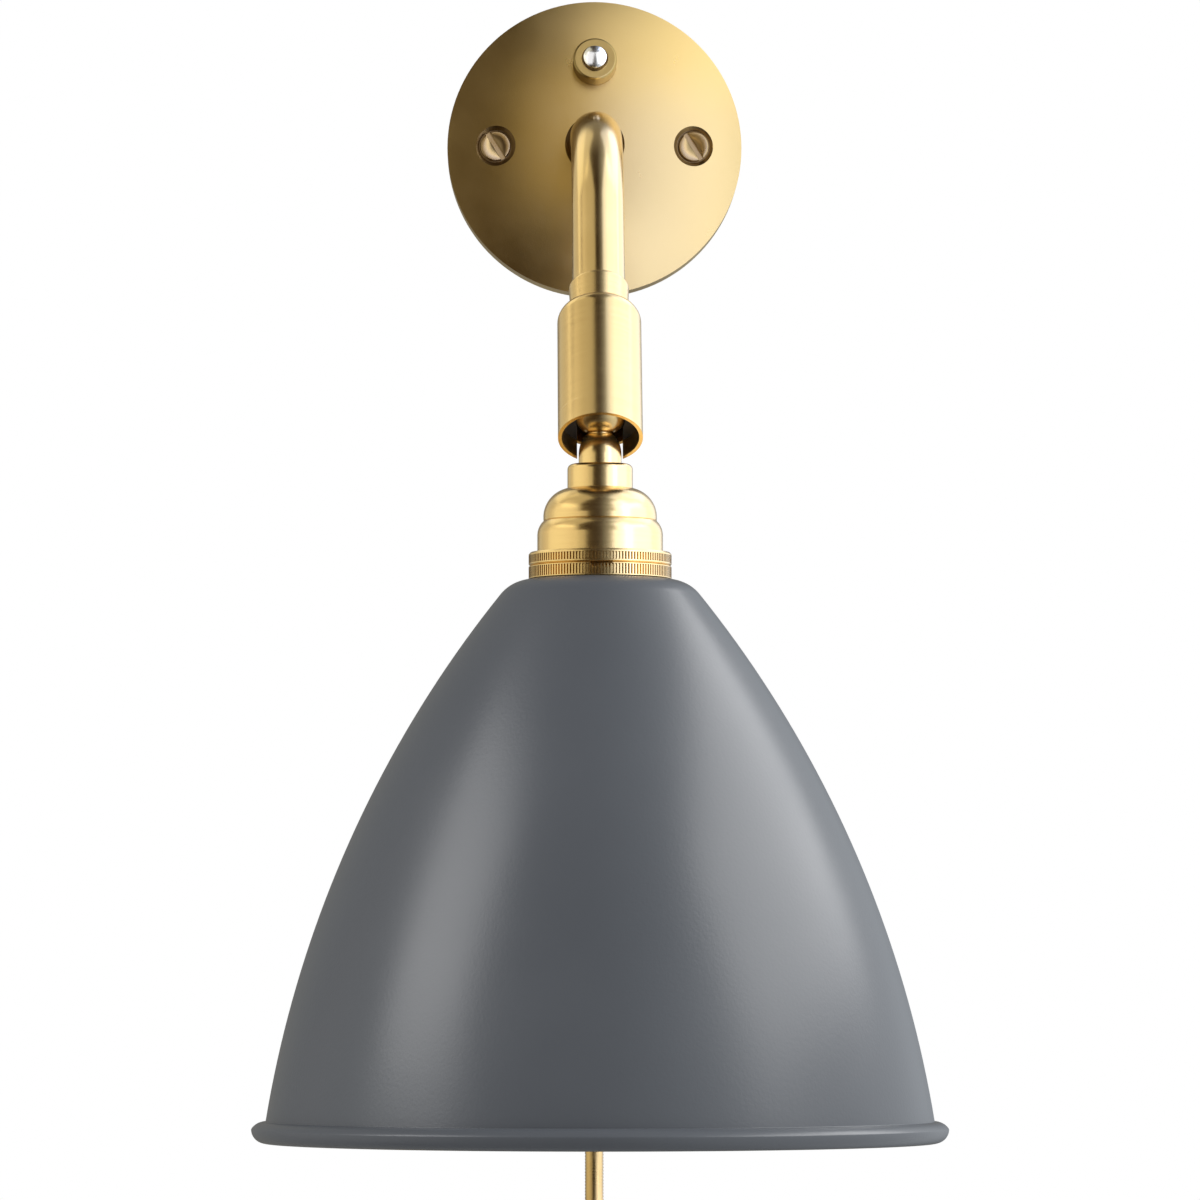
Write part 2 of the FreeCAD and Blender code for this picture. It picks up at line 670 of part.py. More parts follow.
def terminal_screw(x):
    """Clamping screw at the bottom of a well."""
    floor = S["plate_thick"] + S["block_tall"] / 2
    screw = rod("terminal_screw", S["post_d"] / 2 - S["thread_gap"] * 2, S["block_tall"] / 4,
                x, -S["block_down"], floor)
    slot = box("terminal_slot", S["screw_slot_depth"], S["post_d"], S["screw_slot_depth"],
               x, -S["block_down"], floor + S["block_tall"] / 4 - S["screw_slot_depth"] / 2)
    return cut("terminal_screw_cut", screw, [slot])


def cord_clamp():
    """Bar that clamps the flex to the back plate."""
    bar = box("clamp_stock", S["clamp_width"], S["clamp_deep"], S["clamp_top"] - S["plate_thick"],
              0, -CLAMP_DOWN, S["plate_thick"])
    tools = [lying_rod("clamp_bore", S["cord_core_d"], S["clamp_deep"] * 2, 0,
                       S["clamp_deep"] - CLAMP_DOWN, S["cord_out"])]
    for x in clamp_screw_places():
        tools.append(rod("clamp_hole", S["socket_screw_d"], S["clamp_top"], x, -CLAMP_DOWN, 0))
    return cut("cord_clamp", bar, tools, ON_WALL)


def clamp_screw_places():
    """Where the two clamp screws stand."""
    offset = (S["clamp_width"] / 2 + S["cord_core_d"] / 2) / 2
    return (-offset, offset)


def clamp_screw(x):
    """Pan-head screw of the cord clamp."""
    shank, top = S["socket_screw_d"] / 2, S["clamp_top"]
    head = shank * 1.7
    screw = turned("clamp_screw", [
        line(0, S["plate_thick"]), line(shank, S["plate_thick"]), line(shank, top), line(head, top),
        line(head, top + shank / 2), line(head - shank / 4, top + shank * 0.7), line(0, top + shank * 0.7)])
    screw.Placement.Base = Vector(x.value, -CLAMP_DOWN.value, 0)
    return screw


def earth_screw():
    """Earth screw on the back plate, left of the terminal block."""
    x = -S["block_width"] / 2 - S["post_d"]
    low, shank = S["plate_thick"], S["socket_screw_d"] / 2
    head = S["socket_head_d"] / 2
    screw = turned("earth_stock", [
        line(0, low), line(head * 1.3, low), line(head * 1.3, low + shank), line(head, low + shank),
        line(head, low + shank * 2), line(0, low + shank * 2)])
    slot = box("earth_slot", S["screw_slot_depth"], S["post_d"], S["screw_slot_depth"],
               0, 0, low + shank * 2 - S["screw_slot_depth"] / 2)
    item = cut("earth_screw", screw, [slot])
    item.Placement = ON_WALL.multiply(FreeCAD.Placement(
        Vector(x.value, -S["wall_hole_span"].value / 6, 0), FreeCAD.Rotation()))
    return item


# The switch


def switch_nut():
    """Round dress nut with a face that the button comes through."""
    outer, inner = S["switch_nut_d"] / 2, S["bushing_d"] / 2 + S["thread_gap"]
    top, edge = S["switch_nut_height"], S["switch_lip"] / 2
    return turned("switch_nut", [
        line(inner, 0), line(outer, 0), line(outer, top - edge), line(outer - edge, top),
        line(S["switch_mouth_d"] / 2, top), line(S["switch_mouth_d"] / 2, top - S["switch_lip"]),
        line(inner, top - S["switch_lip"])], AT_SWITCH)


def switch_bushing():
    """Threaded bushing with a flange under the dome."""
    outer, bore = S["bushing_d"] / 2, S["button_d"] / 2 + S["run_gap"]
    flange_top = -S["cover_wall"] * 1.2
    return turned("switch_bushing", [
        line(bore, -S["bushing_low"]), line(outer, -S["bushing_low"]), line(outer, -S["switch_seat"]),
        line(S["flange_d"] / 2, -S["switch_seat"]), line(S["flange_d"] / 2, flange_top),
        line(outer, flange_top), line(outer, S["switch_nut_height"] - S["switch_lip"]),
        line(bore, S["switch_nut_height"] - S["switch_lip"])], AT_SWITCH)


def switch_button():
    """Crowned push button with a pusher pin."""
    radius, pin = S["button_d"] / 2, S["pusher_d"] / 2
    top = S["switch_nut_height"] + S["button_proud"]
    crown = S["button_crown"] - leg(S["button_crown"], radius)
    return turned("switch_button", [
        line(0, -S["button_low"] - S["pusher_length"]), line(pin, -S["button_low"] - S["pusher_length"]),
        line(pin, -S["button_low"]), line(radius, -S["button_low"]), line(radius, top - crown),
        arc(0, top, S["button_crown"], 1)], AT_SWITCH)


def switch_body():
    """Switch housing, bored for the bushing, the button and its pin."""
    seat, tall = S["switch_seat"], S["switch_tall"]
    housing = box("switch_housing", S["switch_width"], S["switch_deep"], tall, 0, 0, -seat - tall)
    room = S["press"] + S["part_gap"]
    wide, pin = S["button_d"] + S["part_gap"], S["pusher_d"] + S["part_gap"]
    tools = [
        rod("bushing_well", S["bushing_d"], S["bushing_low"] - seat, 0, 0, -S["bushing_low"]),
        rod("button_well", wide, S["button_low"] + room - seat, 0, 0, -S["button_low"] - room),
        rod("pusher_well", pin, S["button_low"] + S["pusher_length"] + room - seat, 0, 0,
            -S["button_low"] - S["pusher_length"] - room),
    ]
    return cut("switch_body", housing, tools, AT_SWITCH)


def switch_terminals():
    """Two lugs behind the switch."""
    low = -S["switch_seat"] - S["switch_tall"] - S["lug_length"]
    lugs = [box("switch_lug", S["cover_wall"], S["lug_length"], S["lug_length"], x, 0, low)
            for x in (-S["switch_width"] / 4, S["switch_width"] / 4)]
    return grouped("switch_terminals", lugs, AT_SWITCH)


# The arm


def arm_tube():
    """Tube from the rose out, round one bend and down to the swivel spigot."""
    body = doc.addObject("PartDesign::Body", "arm_tube")
    body.Label = "arm_tube"
    tilt, bend, start = S["joint_tilt"], S["bend_radius"], S["bend_start"]
    length = S["bend_to_ball"] - S["sleeve_top"] - S["collar_gap"] - S["collar_height"]
    bend_out = start + bend * cosine(tilt)
    bend_down = bend * (1 - sine(tilt))
    path = draw(body, "YZ_Plane", [
        line(-S["arm_start"], 0), line(-start, 0),
        arc(-bend_out, -bend_down, bend, 1),
        line(-bend_out - length * sine(tilt), -bend_down - length * cosine(tilt))],
        "arm_path", closed=False)
    section = body.newObject("Sketcher::SketchObject", "arm_section")
    section.AttachmentSupport = [(origin_plane(body, "XZ_Plane"), "")]
    section.MapMode = "FlatFace"
    section.setExpression("AttachmentOffset.Base.z", S["arm_start"].text)
    for diameter in (S["arm_d"], S["arm_bore"]):
        ring = section.addGeometry(Part.Circle(Vector(), Vector(0, 0, 1), diameter.value / 2), False)
        section.addConstraint(Sketcher.Constraint("Coincident", ring, 3, -1, 1))
        held = section.addConstraint(Sketcher.Constraint("Diameter", ring, diameter.value))
        section.setExpression(f"Constraints[{held}]", diameter.text)
    doc.recompute()
    pipe = body.newObject("PartDesign::AdditivePipe", "arm_sweep")
    pipe.Profile = section
    pipe.Spine = (path, ["Edge1", "Edge2", "Edge3"])
    return body


def corner(before, point, after, radius):
    """Tangent arc of a radius in the corner at a point, with its two ends."""
    back, ahead = (before - point).normalize(), (after - point).normalize()
    turn = math.pi - back.getAngle(ahead)
    reach = radius * math.tan(turn / 2)
    first, last = point + back * reach, point + ahead * reach
    inward = (back + ahead).normalize()
    middle = point + inward * (radius / math.cos(turn / 2) - radius)
    return Part.Arc(first, middle, last), first, last


def route(points, radii):
    """Wire of straight runs joined by tangent arcs, one radius per corner."""
    edges, last_end = [], points[0]
    for index, radius in enumerate(radii, start=1):
        bend, first, last = corner(points[index - 1], points[index], points[index + 1], radius)
        edges.append(Part.LineSegment(last_end, first).toShape())
        edges.append(bend.toShape())
        last_end = last
    edges.append(Part.LineSegment(last_end, points[-1]).toShape())
    return Part.Wire(edges)


def arm_lead():
    """Round flex from the terminal block through the arm to the end of the spigot."""
    height = S["lead_height"].value
    block_face = S["block_down"].value - S["block_deep"].value / 2
    tilt = math.radians(S["joint_tilt"].value)
    reach = S["bend_radius"].value * math.tan((math.pi / 2 - tilt) / 2)
    ahead = Vector(0, -math.sin(tilt), -math.cos(tilt))
    points = [
        Vector(0, -height, -block_face),
        Vector(0, -height, 0),
        Vector(0, -S["bend_start"].value - reach, 0),
        BALL - ahead * S["spigot_end"].value,
    ]
    wire = route(points, [S["lead_bend"].value, S["bend_radius"].value])
    return swept("arm_lead", wire, S["lead_d"].value / 2)


def swivel_spigot():
    """Turned end of the arm: a stub in the tube, the collar that shows, and the threaded spigot."""
    low = S["sleeve_top"] + S["collar_gap"]
    high = low + S["collar_height"]
    bore, spigot, stub = S["spigot_bore"] / 2, S["spigot_d"] / 2, S["arm_bore"] / 2
    edge = S["collar_height"] / 6
    return turned("swivel_spigot", [
        line(bore, S["spigot_end"]), line(spigot, S["spigot_end"]), line(spigot, low),
        line(S["collar_waist_d"] / 2, low), line(S["collar_d"] / 2, high - edge),
        arc(S["arm_d"] / 2, high, edge, 1), line(stub, high),
        line(stub, high + S["stub_length"]), line(bore, high + S["stub_length"])], IN_SLEEVE)


def swivel_nut():
    """Thin nut that keeps the sleeve on the spigot."""
    low, high = S["nut_low"], S["nut_low"] + S["nut_height"]
    inner, outer, edge = S["spigot_d"] / 2, S["nut_d"] / 2, S["nut_height"] / 6
    return turned("swivel_nut", [
        line(inner, low), line(outer - edge, low), line(outer, low + edge), line(outer, high),
        line(inner, high)], IN_SLEEVE)


def friction_washer():
    """Washer between the nut and the sleeve's top."""
    low = S["nut_low"] + S["nut_height"]
    inner, outer = S["spigot_d"] / 2 + S["run_gap"], S["nut_d"] / 2
    return turned("friction_washer", [
        line(inner, low), line(outer, low), line(outer, low + S["washer_thick"]),
        line(inner, low + S["washer_thick"])], IN_SLEEVE)


# The joint


def slot_tool(name, top):
    """Box that cuts the slot through the lower wall, from a height down past the mouth."""
    drop = S["mouth_drop"] * 2
    return box(name, S["slot_width"], S["sleeve_d"], drop, 0, S["sleeve_d"] / 2, -top - drop)


def joint_sleeve():
    """Sleeve with a rounded shoulder, open at the mouth and slotted in its lower wall."""
    outer, bore = S["sleeve_d"] / 2, S["sleeve_bore"] / 2
    hole = S["spigot_d"] / 2 + S["run_gap"]
    top, roof = S["sleeve_top"], S["sleeve_top"] - S["sleeve_roof"]
    bevel = (S["sleeve_d"] - S["sleeve_bore"]) / 2
    body = turned("sleeve_turned", [
        line(outer, -S["mouth_drop"]), line(outer, S["sleeve_shoulder"]),
        arc(S["collar_d"] / 2, top, S["shoulder_radius"], 1), line(hole, top), line(hole, roof),
        line(bore - bevel, roof), line(bore, roof - bevel), line(bore, -S["mouth_drop"])])
    return cut("joint_sleeve", body, [slot_tool("sleeve_slot", S["slot_top"])], IN_SLEEVE)


def seat_ring():
    """Ring screwed into the sleeve, with a round seat under the ball and the slot through it."""
    outer, seat = S["sleeve_bore"] / 2, S["ball_d"] / 2 + S["ball_gap"]
    low, top = S["seat_low"], S["seat_top"]
    body = turned("seat_turned", [
        line(outer, -low), line(outer, -top), line(leg(seat, top), -top),
        arc(leg(seat, low), -low, seat, -1)])
    return cut("seat_ring", body, [slot_tool("seat_slot", S["seat_top"] / 2)], IN_SLEEVE)


def pressure_cup():
    """Cup that the spring presses on the ball."""
    seat = S["ball_d"] / 2 + S["ball_gap"]
    low, bore, outer = S["cup_low"], S["cup_bore"] / 2, S["sleeve_bore"] / 2 - S["thread_gap"]
    return turned("pressure_cup", [
        arc(leg(seat, low), low, seat, -1), line(outer, low), line(outer, S["cup_top"]),
        line(bore, S["cup_top"]), line(bore, leg(seat, bore))], IN_SLEEVE)


def joint_ball():
    """Ball, bored for the stem and counterbored for its nut."""
    ball, bore = S["ball_d"] / 2, S["stem_neck_d"] / 2 + S["run_gap"]
    well, floor = S["counterbore_d"] / 2, S["counterbore_floor"]
    return turned("joint_ball", [
        line(bore, -leg(ball, bore)), arc(well, leg(ball, well), ball, 1), line(well, floor),
        line(bore, floor)], IN_HEAD)


# Wound wire


def biarc(start, start_way, end, end_way):
    """Two tangent arcs from one point and direction to another."""
    span = end - start
    ways = start_way + end_way
    along = span.dot(ways)
    square = ways.dot(ways) - 4
    reach = span.Length ** 2 / (along + math.sqrt(along ** 2 - square * span.Length ** 2))
    first = start + start_way * reach
    second = end - end_way * reach
    join = (first + second) * 0.5
    return [bow(start, start_way, join), bow(join, (second - first).normalize(), end)]


def bow(start, way, end):
    """Arc from a point along a direction to another point."""
    chord = end - start
    lean = way.getAngle(chord)
    if lean < LIMIT_SLIVER:
        return Part.LineSegment(start, end).toShape()
    normal = way.cross(chord).normalize()
    inward = normal.cross(way).normalize()
    radius = chord.Length / (2 * math.sin(lean))
    centre = start + inward * radius
    half = FreeCAD.Rotation(normal, math.degrees(lean)).multVec(start - centre)
    return Part.Arc(start, centre + half, end).toShape()


def wound_wire(place, begin, end, steps):
    """Wire of biarcs along a curve given by a function, between two values of its variable."""
    width = (end - begin) / steps
    points = [place(begin + width * index) for index in range(steps + 1)]
    nudge = width / 1000
    ways = [(place(begin + width * index + nudge) - place(begin + width * index - nudge)).normalize()
            for index in range(steps + 1)]
    edges = []
    for index in range(steps):
        edges += biarc(points[index], ways[index], points[index + 1], ways[index + 1])
    return edges


def joint_spring():
    """Compression spring between the pressure cup and the swivel nut."""
    wire_radius = S["spring_wire"].value / 2
    low = S["cup_top"].value + wire_radius
    high = S["nut_low"].value - S["part_gap"].value - wire_radius
    radius, turns = S["spring_mean_d"].value / 2, S["spring_turns"].value

    def place(turn):
        angle = 2 * math.pi * turn
        up = low + (high - low) * turn / turns
        return Vector(radius * math.cos(angle), radius * math.sin(angle), up)

    wire = Part.Wire(wound_wire(place, 0.0, turns, round(turns * STEPS_PER_TURN)))
    item = swept("joint_spring", wire, wire_radius)
    item.Placement = IN_SLEEVE
    return item


# The lamp head


def stem():
    """Hollow stem: through the ball, flared under it and threaded into the cap."""
    bore, neck, thread = S["stem_bore"] / 2, S["stem_neck_d"] / 2, S["stem_thread_d"] / 2
    flare = S["flare_d"] / 2
    return turned("stem", [
        line(bore, -S["stem_end"]), line(thread, -S["stem_end"]), line(thread, -S["stem_foot"]),
        line(flare, -S["stem_foot"]), line(flare, -S["flare_round"]),
        arc(S["flare_top_d"] / 2, -S["flare_top"], S["flare_round"] * 0.65, 1),
        line(neck, -S["flare_top"]), line(neck, S["stem_up"]), line(bore, S["stem_up"])], IN_HEAD)


def stem_nut():
    """Round nut on the stem, inside the ball's counterbore."""
    low, high = S["stem_nut_low"], S["stem_nut_low"] + S["stem_nut_height"]
    inner, outer, edge = S["stem_neck_d"] / 2, S["stem_nut_d"] / 2, S["stem_nut_height"] / 5
    return turned("stem_nut", [
        line(inner, low), line(outer, low), line(outer, high - edge), line(outer - edge, high),
        line(inner, high)], IN_HEAD)


def head_lead():
    """Flex inside the stem, down to the insulating insert."""
    length = S["stem_up"] + S["insert_top"]
    lead = rod("head_lead", S["stem_bore"] - S["thread_gap"] * 4, length, 0, 0, 0)
    lead.Label = "head_lead"
    lead.Placement = FreeCAD.Placement(BALL - Vector(0, 0, S["insert_top"].value), FreeCAD.Rotation())
    lead.setExpression("Placement.Base.x", None)
    lead.setExpression("Placement.Base.y", None)
    lead.setExpression("Placement.Base.z", None)
    return lead


def holder_cap():
    """Stepped cap of the lampholder: a neck, a dome, a fine groove and a wider foot."""
    hole, neck, dome, foot = S["stem_thread_d"] / 2, S["neck_d"] / 2, S["dome_d"] / 2, S["cap_d"] / 2
    wall, top, rounding = S["cap_wall"], S["stem_foot"], S["neck_round"]
    groove = wall / 6
    return turned("holder_cap", [
        line(hole, -top), line(neck - rounding, -top), arc(neck, -top - rounding, rounding, -1),
        line(neck, -S["neck_low"]), arc(dome, -S["dome_low"], S["dome_bend"], -1),
        line(dome, -S["step_high"]), line(dome - groove, -S["step_high"] - groove / 2),
        line(dome, -S["step_high"] - groove), arc(foot, -S["step_low"], S["step_bend"], -1),
        line(foot, -S["cap_low"]), line(foot - wall, -S["cap_low"]), line(foot - wall, -S["step_low"]),
        line(dome - wall, -S["step_low"] + wall * 2), line(dome - wall, -S["dome_low"] - wall / 2),
        line(neck - wall / 2, -S["neck_low"] - wall * 1.3), line(hole, -S["neck_low"] - wall * 1.3)], IN_HEAD)


def ring_bore():
    """Inner radius of the rings, clear of the holder's thread."""
    return S["holder_d"] / 2 + S["thread_gap"]


def ring_outline(top, low, edge_top, edge_low):
    """Outline of a ring with a bevel of its own at each edge."""
    outer = S["ring_d"] / 2
    return [
        line(ring_bore(), low), line(outer - edge_low, low), line(outer, low + edge_low),
        line(outer, top - edge_top), line(outer - edge_top, top), line(ring_bore(), top)]


def rings():
    """The two knurled rings over the shade and the plain ring under it."""
    first = -S["cap_low"]
    second = first - S["upper_ring_height"]
    third = second - S["lower_ring_height"]
    fourth = third - S["shade_wall"]
    seam, edge = S["ring_seam"], S["ring_edge"]
    upper = turned("upper_ring", ring_outline(first, second, edge, seam), IN_HEAD)
    notch = box("ring_notch", S["notch_width"], S["notch_deep"] * 2, S["notch_height"] * 2,
                0, -S["ring_d"] / 2, second - S["notch_height"])
    body = turned("lower_ring_body", ring_outline(second, third, seam, seam))
    lower = cut("lower_ring", body, [notch], IN_HEAD)
    under = turned("shade_ring", ring_outline(fourth, fourth - S["shade_ring_height"], seam, edge), IN_HEAD)
    return upper, lower, under


def holder_skirt():
    """Threaded brass skirt that the cap and the rings screw on to."""
    top = -S["cap_low"] + S["holder_in_cap"]
    low = top - S["holder_length"]
    outer, bore = S["holder_d"] / 2, S["holder_bore"] / 2
    edge = (outer - bore) / 2
    return turned("holder_skirt", [
        line(bore, low), line(outer - edge, low), line(outer, low + edge), line(outer, top),
        line(bore, top)], IN_HEAD)


def socket_insert():
    """Insulating insert that carries the contacts."""
    outer, nose = S["holder_bore"] / 2, S["insert_nose_d"] / 2
    top, low, step = -S["insert_top"], -S["insert_low"], -S["cap_low"] + S["holder_in_cap"]
    well, floor = S["shell_bore"] / 2 + S["shell_wall"], -S["bulb_tip"] + S["contact_thick"]
    return turned("socket_insert", [
        line(0, top), line(nose, top), line(nose, step), line(outer, step), line(outer, low),
        line(well, low), line(well, floor), line(0, floor)][::-1], IN_HEAD)


def contact_shell():
    """Threaded brass shell that the bulb screws into."""
    bore, outer = S["shell_bore"] / 2, S["shell_bore"] / 2 + S["shell_wall"]
    top, low = -S["shell_top"], -S["insert_low"]
    return turned("contact_shell", [
        line(bore, low), line(outer, low), line(outer, top), line(bore, top)], IN_HEAD)


def centre_contact():
    """Spring contact under the bulb's tip."""
    floor = -S["bulb_tip"] + S["contact_thick"]
    return turned("centre_contact", [
        line(0, -S["bulb_tip"]), line(S["contact_d"] / 2, -S["bulb_tip"]),
        line(S["contact_d"] / 2, floor), line(0, floor)], IN_HEAD)


def bulb_cap():
    """Screw cap of the bulb with its tip."""
    radius, tip = S["bulb_cap_d"] / 2, S["bulb_tip_d"] / 2
    top, low = -S["bulb_tip"], -S["bulb_cap_low"]
    slope = (radius - tip) / 2
    return turned("bulb_cap", [
        line(0, low), line(radius, low), line(radius, top - slope - S["contact_thick"]),
        line(tip, top - S["contact_thick"]), line(tip, top), line(0, top)], IN_HEAD)


def bulb_globe():
    """Glass globe, a shell that is open only inside the cap."""
    radius, wall, neck = S["globe_d"] / 2, S["globe_wall"], S["bulb_cap_d"] / 2
    centre = -S["bulb_tip"] - S["bulb_length"] + radius
    join, flow = S["globe_join_d"] / 2, S["globe_flow"]
    inner_join, inner_neck = join - wall, neck - wall
    return turned("bulb_globe", [
        line(0, centre - radius), arc(join, centre + leg(radius, join), radius, 1),
        arc(neck, -S["bulb_cap_low"], flow, -1), line(inner_neck, -S["bulb_cap_low"]),
        arc(inner_join, centre + leg(radius - wall, inner_join), flow + wall, 1),
        arc(0, centre - radius + wall, radius - wall, -1)], IN_HEAD)


def apart(across, down):
    """Distance between two points, from their distances along the axes."""
    return root(across * across + down * down)


def flank_circle(bead_along, bead_drop):
    """Radius of the flank's circle, and its centre's distance behind the axis and below the flat top.

    It touches the circle of the top's rounding and passes just outside the middle of the rolled rim.
    Its radius is the mean of the one in the sheet and of the two that the point in the sheet gives.
    """
    shoulder, rounding, lap = S["shoulder_d"] / 2, S["shade_corner"], S["flank_lap"]
    to_bead = apart(bead_along + S["flank_back"], bead_drop - S["flank_drop"]) + lap
    to_corner = apart(shoulder + S["flank_back"], rounding - S["flank_drop"]) + rounding
    radius = worked("flank_mean_radius", (S["flank_radius"] + to_bead + to_corner) / 3, "flank's radius")
    across = worked("flank_across", bead_along - shoulder, "from the rounding's centre to the rim's, across")
    down = worked("flank_down", bead_drop - rounding, "and down")
    span = worked("flank_span", apart(across, down), "and straight")
    near, far = radius - rounding, radius - lap
    share = worked("flank_share", (near * near - far * far + span * span) / (span * 2),
                   "foot of the flank's centre on that line")
    side = worked("flank_side", leg(near, share), "flank's centre from that foot")
    behind = worked("flank_behind", (side * down - share * across) / span - shoulder,
                    "flank's centre behind the axis")
    below = worked("flank_below", (side * across + share * down) / span + rounding,
                   "flank's centre below the flat top")
    return radius, behind, below


def shade():
    """Spun shade: a flat top, a round corner, one long arc and a rolled rim."""
    top = -S["cap_low"] - S["upper_ring_height"] - S["lower_ring_height"]
    wall, corner_radius, bead = S["shade_wall"], S["shade_corner"], S["bead_radius"]
    shoulder = S["shoulder_d"] / 2
    bead_along, bead_drop = S["rim_d"] / 2 - bead, S["shade_height"] - bead
    radius, behind, below = flank_circle(bead_along, bead_drop)
    along = (shoulder + behind) / (radius - corner_radius)
    down = (below - corner_radius) / (radius - corner_radius)
    outer_x, outer_drop = shoulder + along * corner_radius, corner_radius - down * corner_radius
    inner_x = shoulder + along * (corner_radius - wall)
    inner_drop = corner_radius - down * (corner_radius - wall)
    end_drop = bead_drop - S["lip_height"]
    end_x = leg(radius, below - end_drop) - behind
    inner_end = worked("flank_inner_end", leg(radius - wall, below - end_drop) - behind,
                       "radius of the inner side over the rolled rim")
    inside = bead_along - inner_end
    hole = ring_bore()
    return turned("shade", [
        line(hole, top), line(shoulder, top),
        arc(outer_x, top - outer_drop, corner_radius, -1),
        arc(end_x, top - end_drop, radius, -1),
        arc(S["rim_d"] / 2, top - bead_drop, S["lip_radius"], -1),
        arc(bead_along, top - S["shade_height"], bead, -1),
        arc(inner_end, top - S["shade_height"] + inside, inside, -1),
        line(inner_end, top - end_drop),
        arc(inner_x, top - inner_drop, radius - wall, 1),
        arc(shoulder, top - wall, corner_radius - wall, 1),
        line(hole, top - wall)], IN_HEAD)


# The cord


def cord_ferrule():
    """Tapered brass ferrule through the skirt of the cover, with a flange inside that is flat on top."""
    edge, wall = S["cover_d"] / 2, S["cover_wall"]
    bore, neck, tip = S["cord_core_d"] / 2, S["ferrule_neck_d"] / 2, S["ferrule_tip_d"] / 2
    flange = S["ferrule_d"] / 2 - S["plate_gap"]
    end = edge + S["ferrule_length"]
    inside, outside = leg(edge - wall, flange) - S["thread_gap"] / 2, edge + S["thread_gap"]
    flange_flat = dome_height(edge - wall, inner=True) - S["thread_gap"] / 2 - S["cord_out"]
    body = turned("cord_ferrule_body", [
        line(bore, inside - wall), line(flange, inside - wall), line(flange, inside), line(neck, inside),
        line(neck, outside), line(S["ferrule_d"] / 2, outside), line(S["ferrule_d"] / 2, outside + wall * 2),
        line(tip, end), line(bore, end)])
    flat = box("ferrule_flat", S["ferrule_d"], flange, wall * 2,
               0, flange_flat + flange / 2, inside - wall * 2)
    return cut("cord_ferrule", body, [flat], FreeCAD.Placement(
        Vector(0, -S["cord_out"].value, 0), FreeCAD.Rotation(Vector(1, 0, 0), 180)))


def cord_lead_in():
    """Flex from the terminal block through the clamp and the ferrule to its tip."""
    start = S["block_down"].value + S["block_deep"].value / 2
    end = S["cover_d"].value / 2 + S["ferrule_length"].value
    out = -S["cord_out"].value
    wire = Part.Wire([Part.LineSegment(Vector(0, out, -start), Vector(0, out, -end)).toShape()])
    return swept("cord_lead_in", wire, S["cord_core_d"].value / 2)


def coil_place(turn):
    """Middle of the cord in the put-away coil, after a number of turns from its start."""
    turns_per_layer = COIL_TURNS / COIL_LAYERS
    climb = 0.5
    layer = min(int(turn / turns_per_layer), COIL_LAYERS - 1)
    share = turn / turns_per_layer - layer
    inward = share if layer % 2 == 0 else 1 - share
    outer, inner = S["coil_outer"].value, S["coil_inner"].value
    radius = outer - (outer - inner) * inward
    height = float(layer)
    for edge in range(1, COIL_LAYERS):
        near = (turn - edge * turns_per_layer) / climb + 0.5
        if 0 < near < 1:
            height = edge - 1 + (1 - math.cos(math.pi * near)) / 2
    angle = -2 * math.pi * turn
    return Vector(
        radius * math.cos(angle) - outer,
        -S["cord_out"].value - height * S["coil_pitch"].value,
        radius * math.sin(angle) - S["cord_drop"].value,
    )


def power_cord():
    """Cord from the ferrule straight down to the coil: it carries the coil's weight."""
    start = S["cover_d"].value / 2 + S["ferrule_length"].value
    end = S["cord_drop"].value - S["coil_lead"].value
    out = -S["cord_out"].value
    wire = Part.Wire([Part.LineSegment(Vector(0, out, -start), Vector(0, out, -end)).toShape()])
    return swept("power_cord", wire, S["cord_d"].value / 2)


def cord_coil():
    """The rest of the cord, wound in four layers, with a straight start and a straight end."""
    return swept("cord_coil", coil_wire(), S["cord_d"].value / 2)


def coil_depth():
    """Distance of the coil's last layer from the wall."""
    return S["cord_out"].value + (COIL_LAYERS - 1) * S["coil_pitch"].value


def cord_tie():
    """Flat tie round the bundle of turns at the top of the coil."""
    gap = S["part_gap"].value
    cord = S["cord_d"].value / 2
    outer, inner = S["coil_outer"].value, S["coil_inner"].value
    low = inner - cord - gap * 2
    tall = outer + cord + gap * 2 - low
    front = coil_depth() + cord + gap
    deep = front - S["cord_out"].value + cord + gap
    thick, width = S["tie_thick"].value, S["tie_width"].value
    base = Vector(-outer - width / 2, -front, low - S["cord_drop"].value)
    hollow = Part.makeBox(width, deep, tall, base)
    skin = Part.makeBox(width, deep + 2 * thick, tall + 2 * thick, base - Vector(0, thick, thick))
    long_edges = [edge for edge in skin.Edges if abs(edge.Length - width) < LIMIT_SLIVER]
    item = doc.addObject("Part::Feature", "cord_tie")
    item.Shape = skin.makeFillet(thick * 1.5, long_edges).cut(hollow)
    item.Label = "cord_tie"
    return item


def plug_place():
    """Top of the plug, with its length downwards."""
    top = -S["cord_drop"].value - S["coil_tail"].value
    return FreeCAD.Placement(Vector(0, -coil_depth(), top), FreeCAD.Rotation(Vector(1, 0, 0), 180))


def plug_body():
    """Flat two-pin plug with a tapered sleeve round the cord."""
    sleeve = doc.addObject("Part::Cone", "plug_taper")
    bind(sleeve, Radius1=S["cord_d"] * 0.75, Radius2=S["cord_d"] * 1.2, Height=S["plug_sleeve"])
    body = box("plug_block", S["plug_width"], S["plug_thick"], S["plug_length"], 0, 0, S["plug_sleeve"])
    rounded = doc.addObject("Part::Fillet", "plug_rounded")
    rounded.Base = body
    doc.recompute()
    upright = [index for index, edge in enumerate(body.Shape.Edges, start=1)
               if abs(edge.Length - S["plug_length"].value) < LIMIT_SLIVER]
    rounded.Edges = [(index, S["plug_thick"].value / 3, S["plug_thick"].value / 3) for index in upright]
    return joined("plug_body", [sleeve, rounded], plug_place())


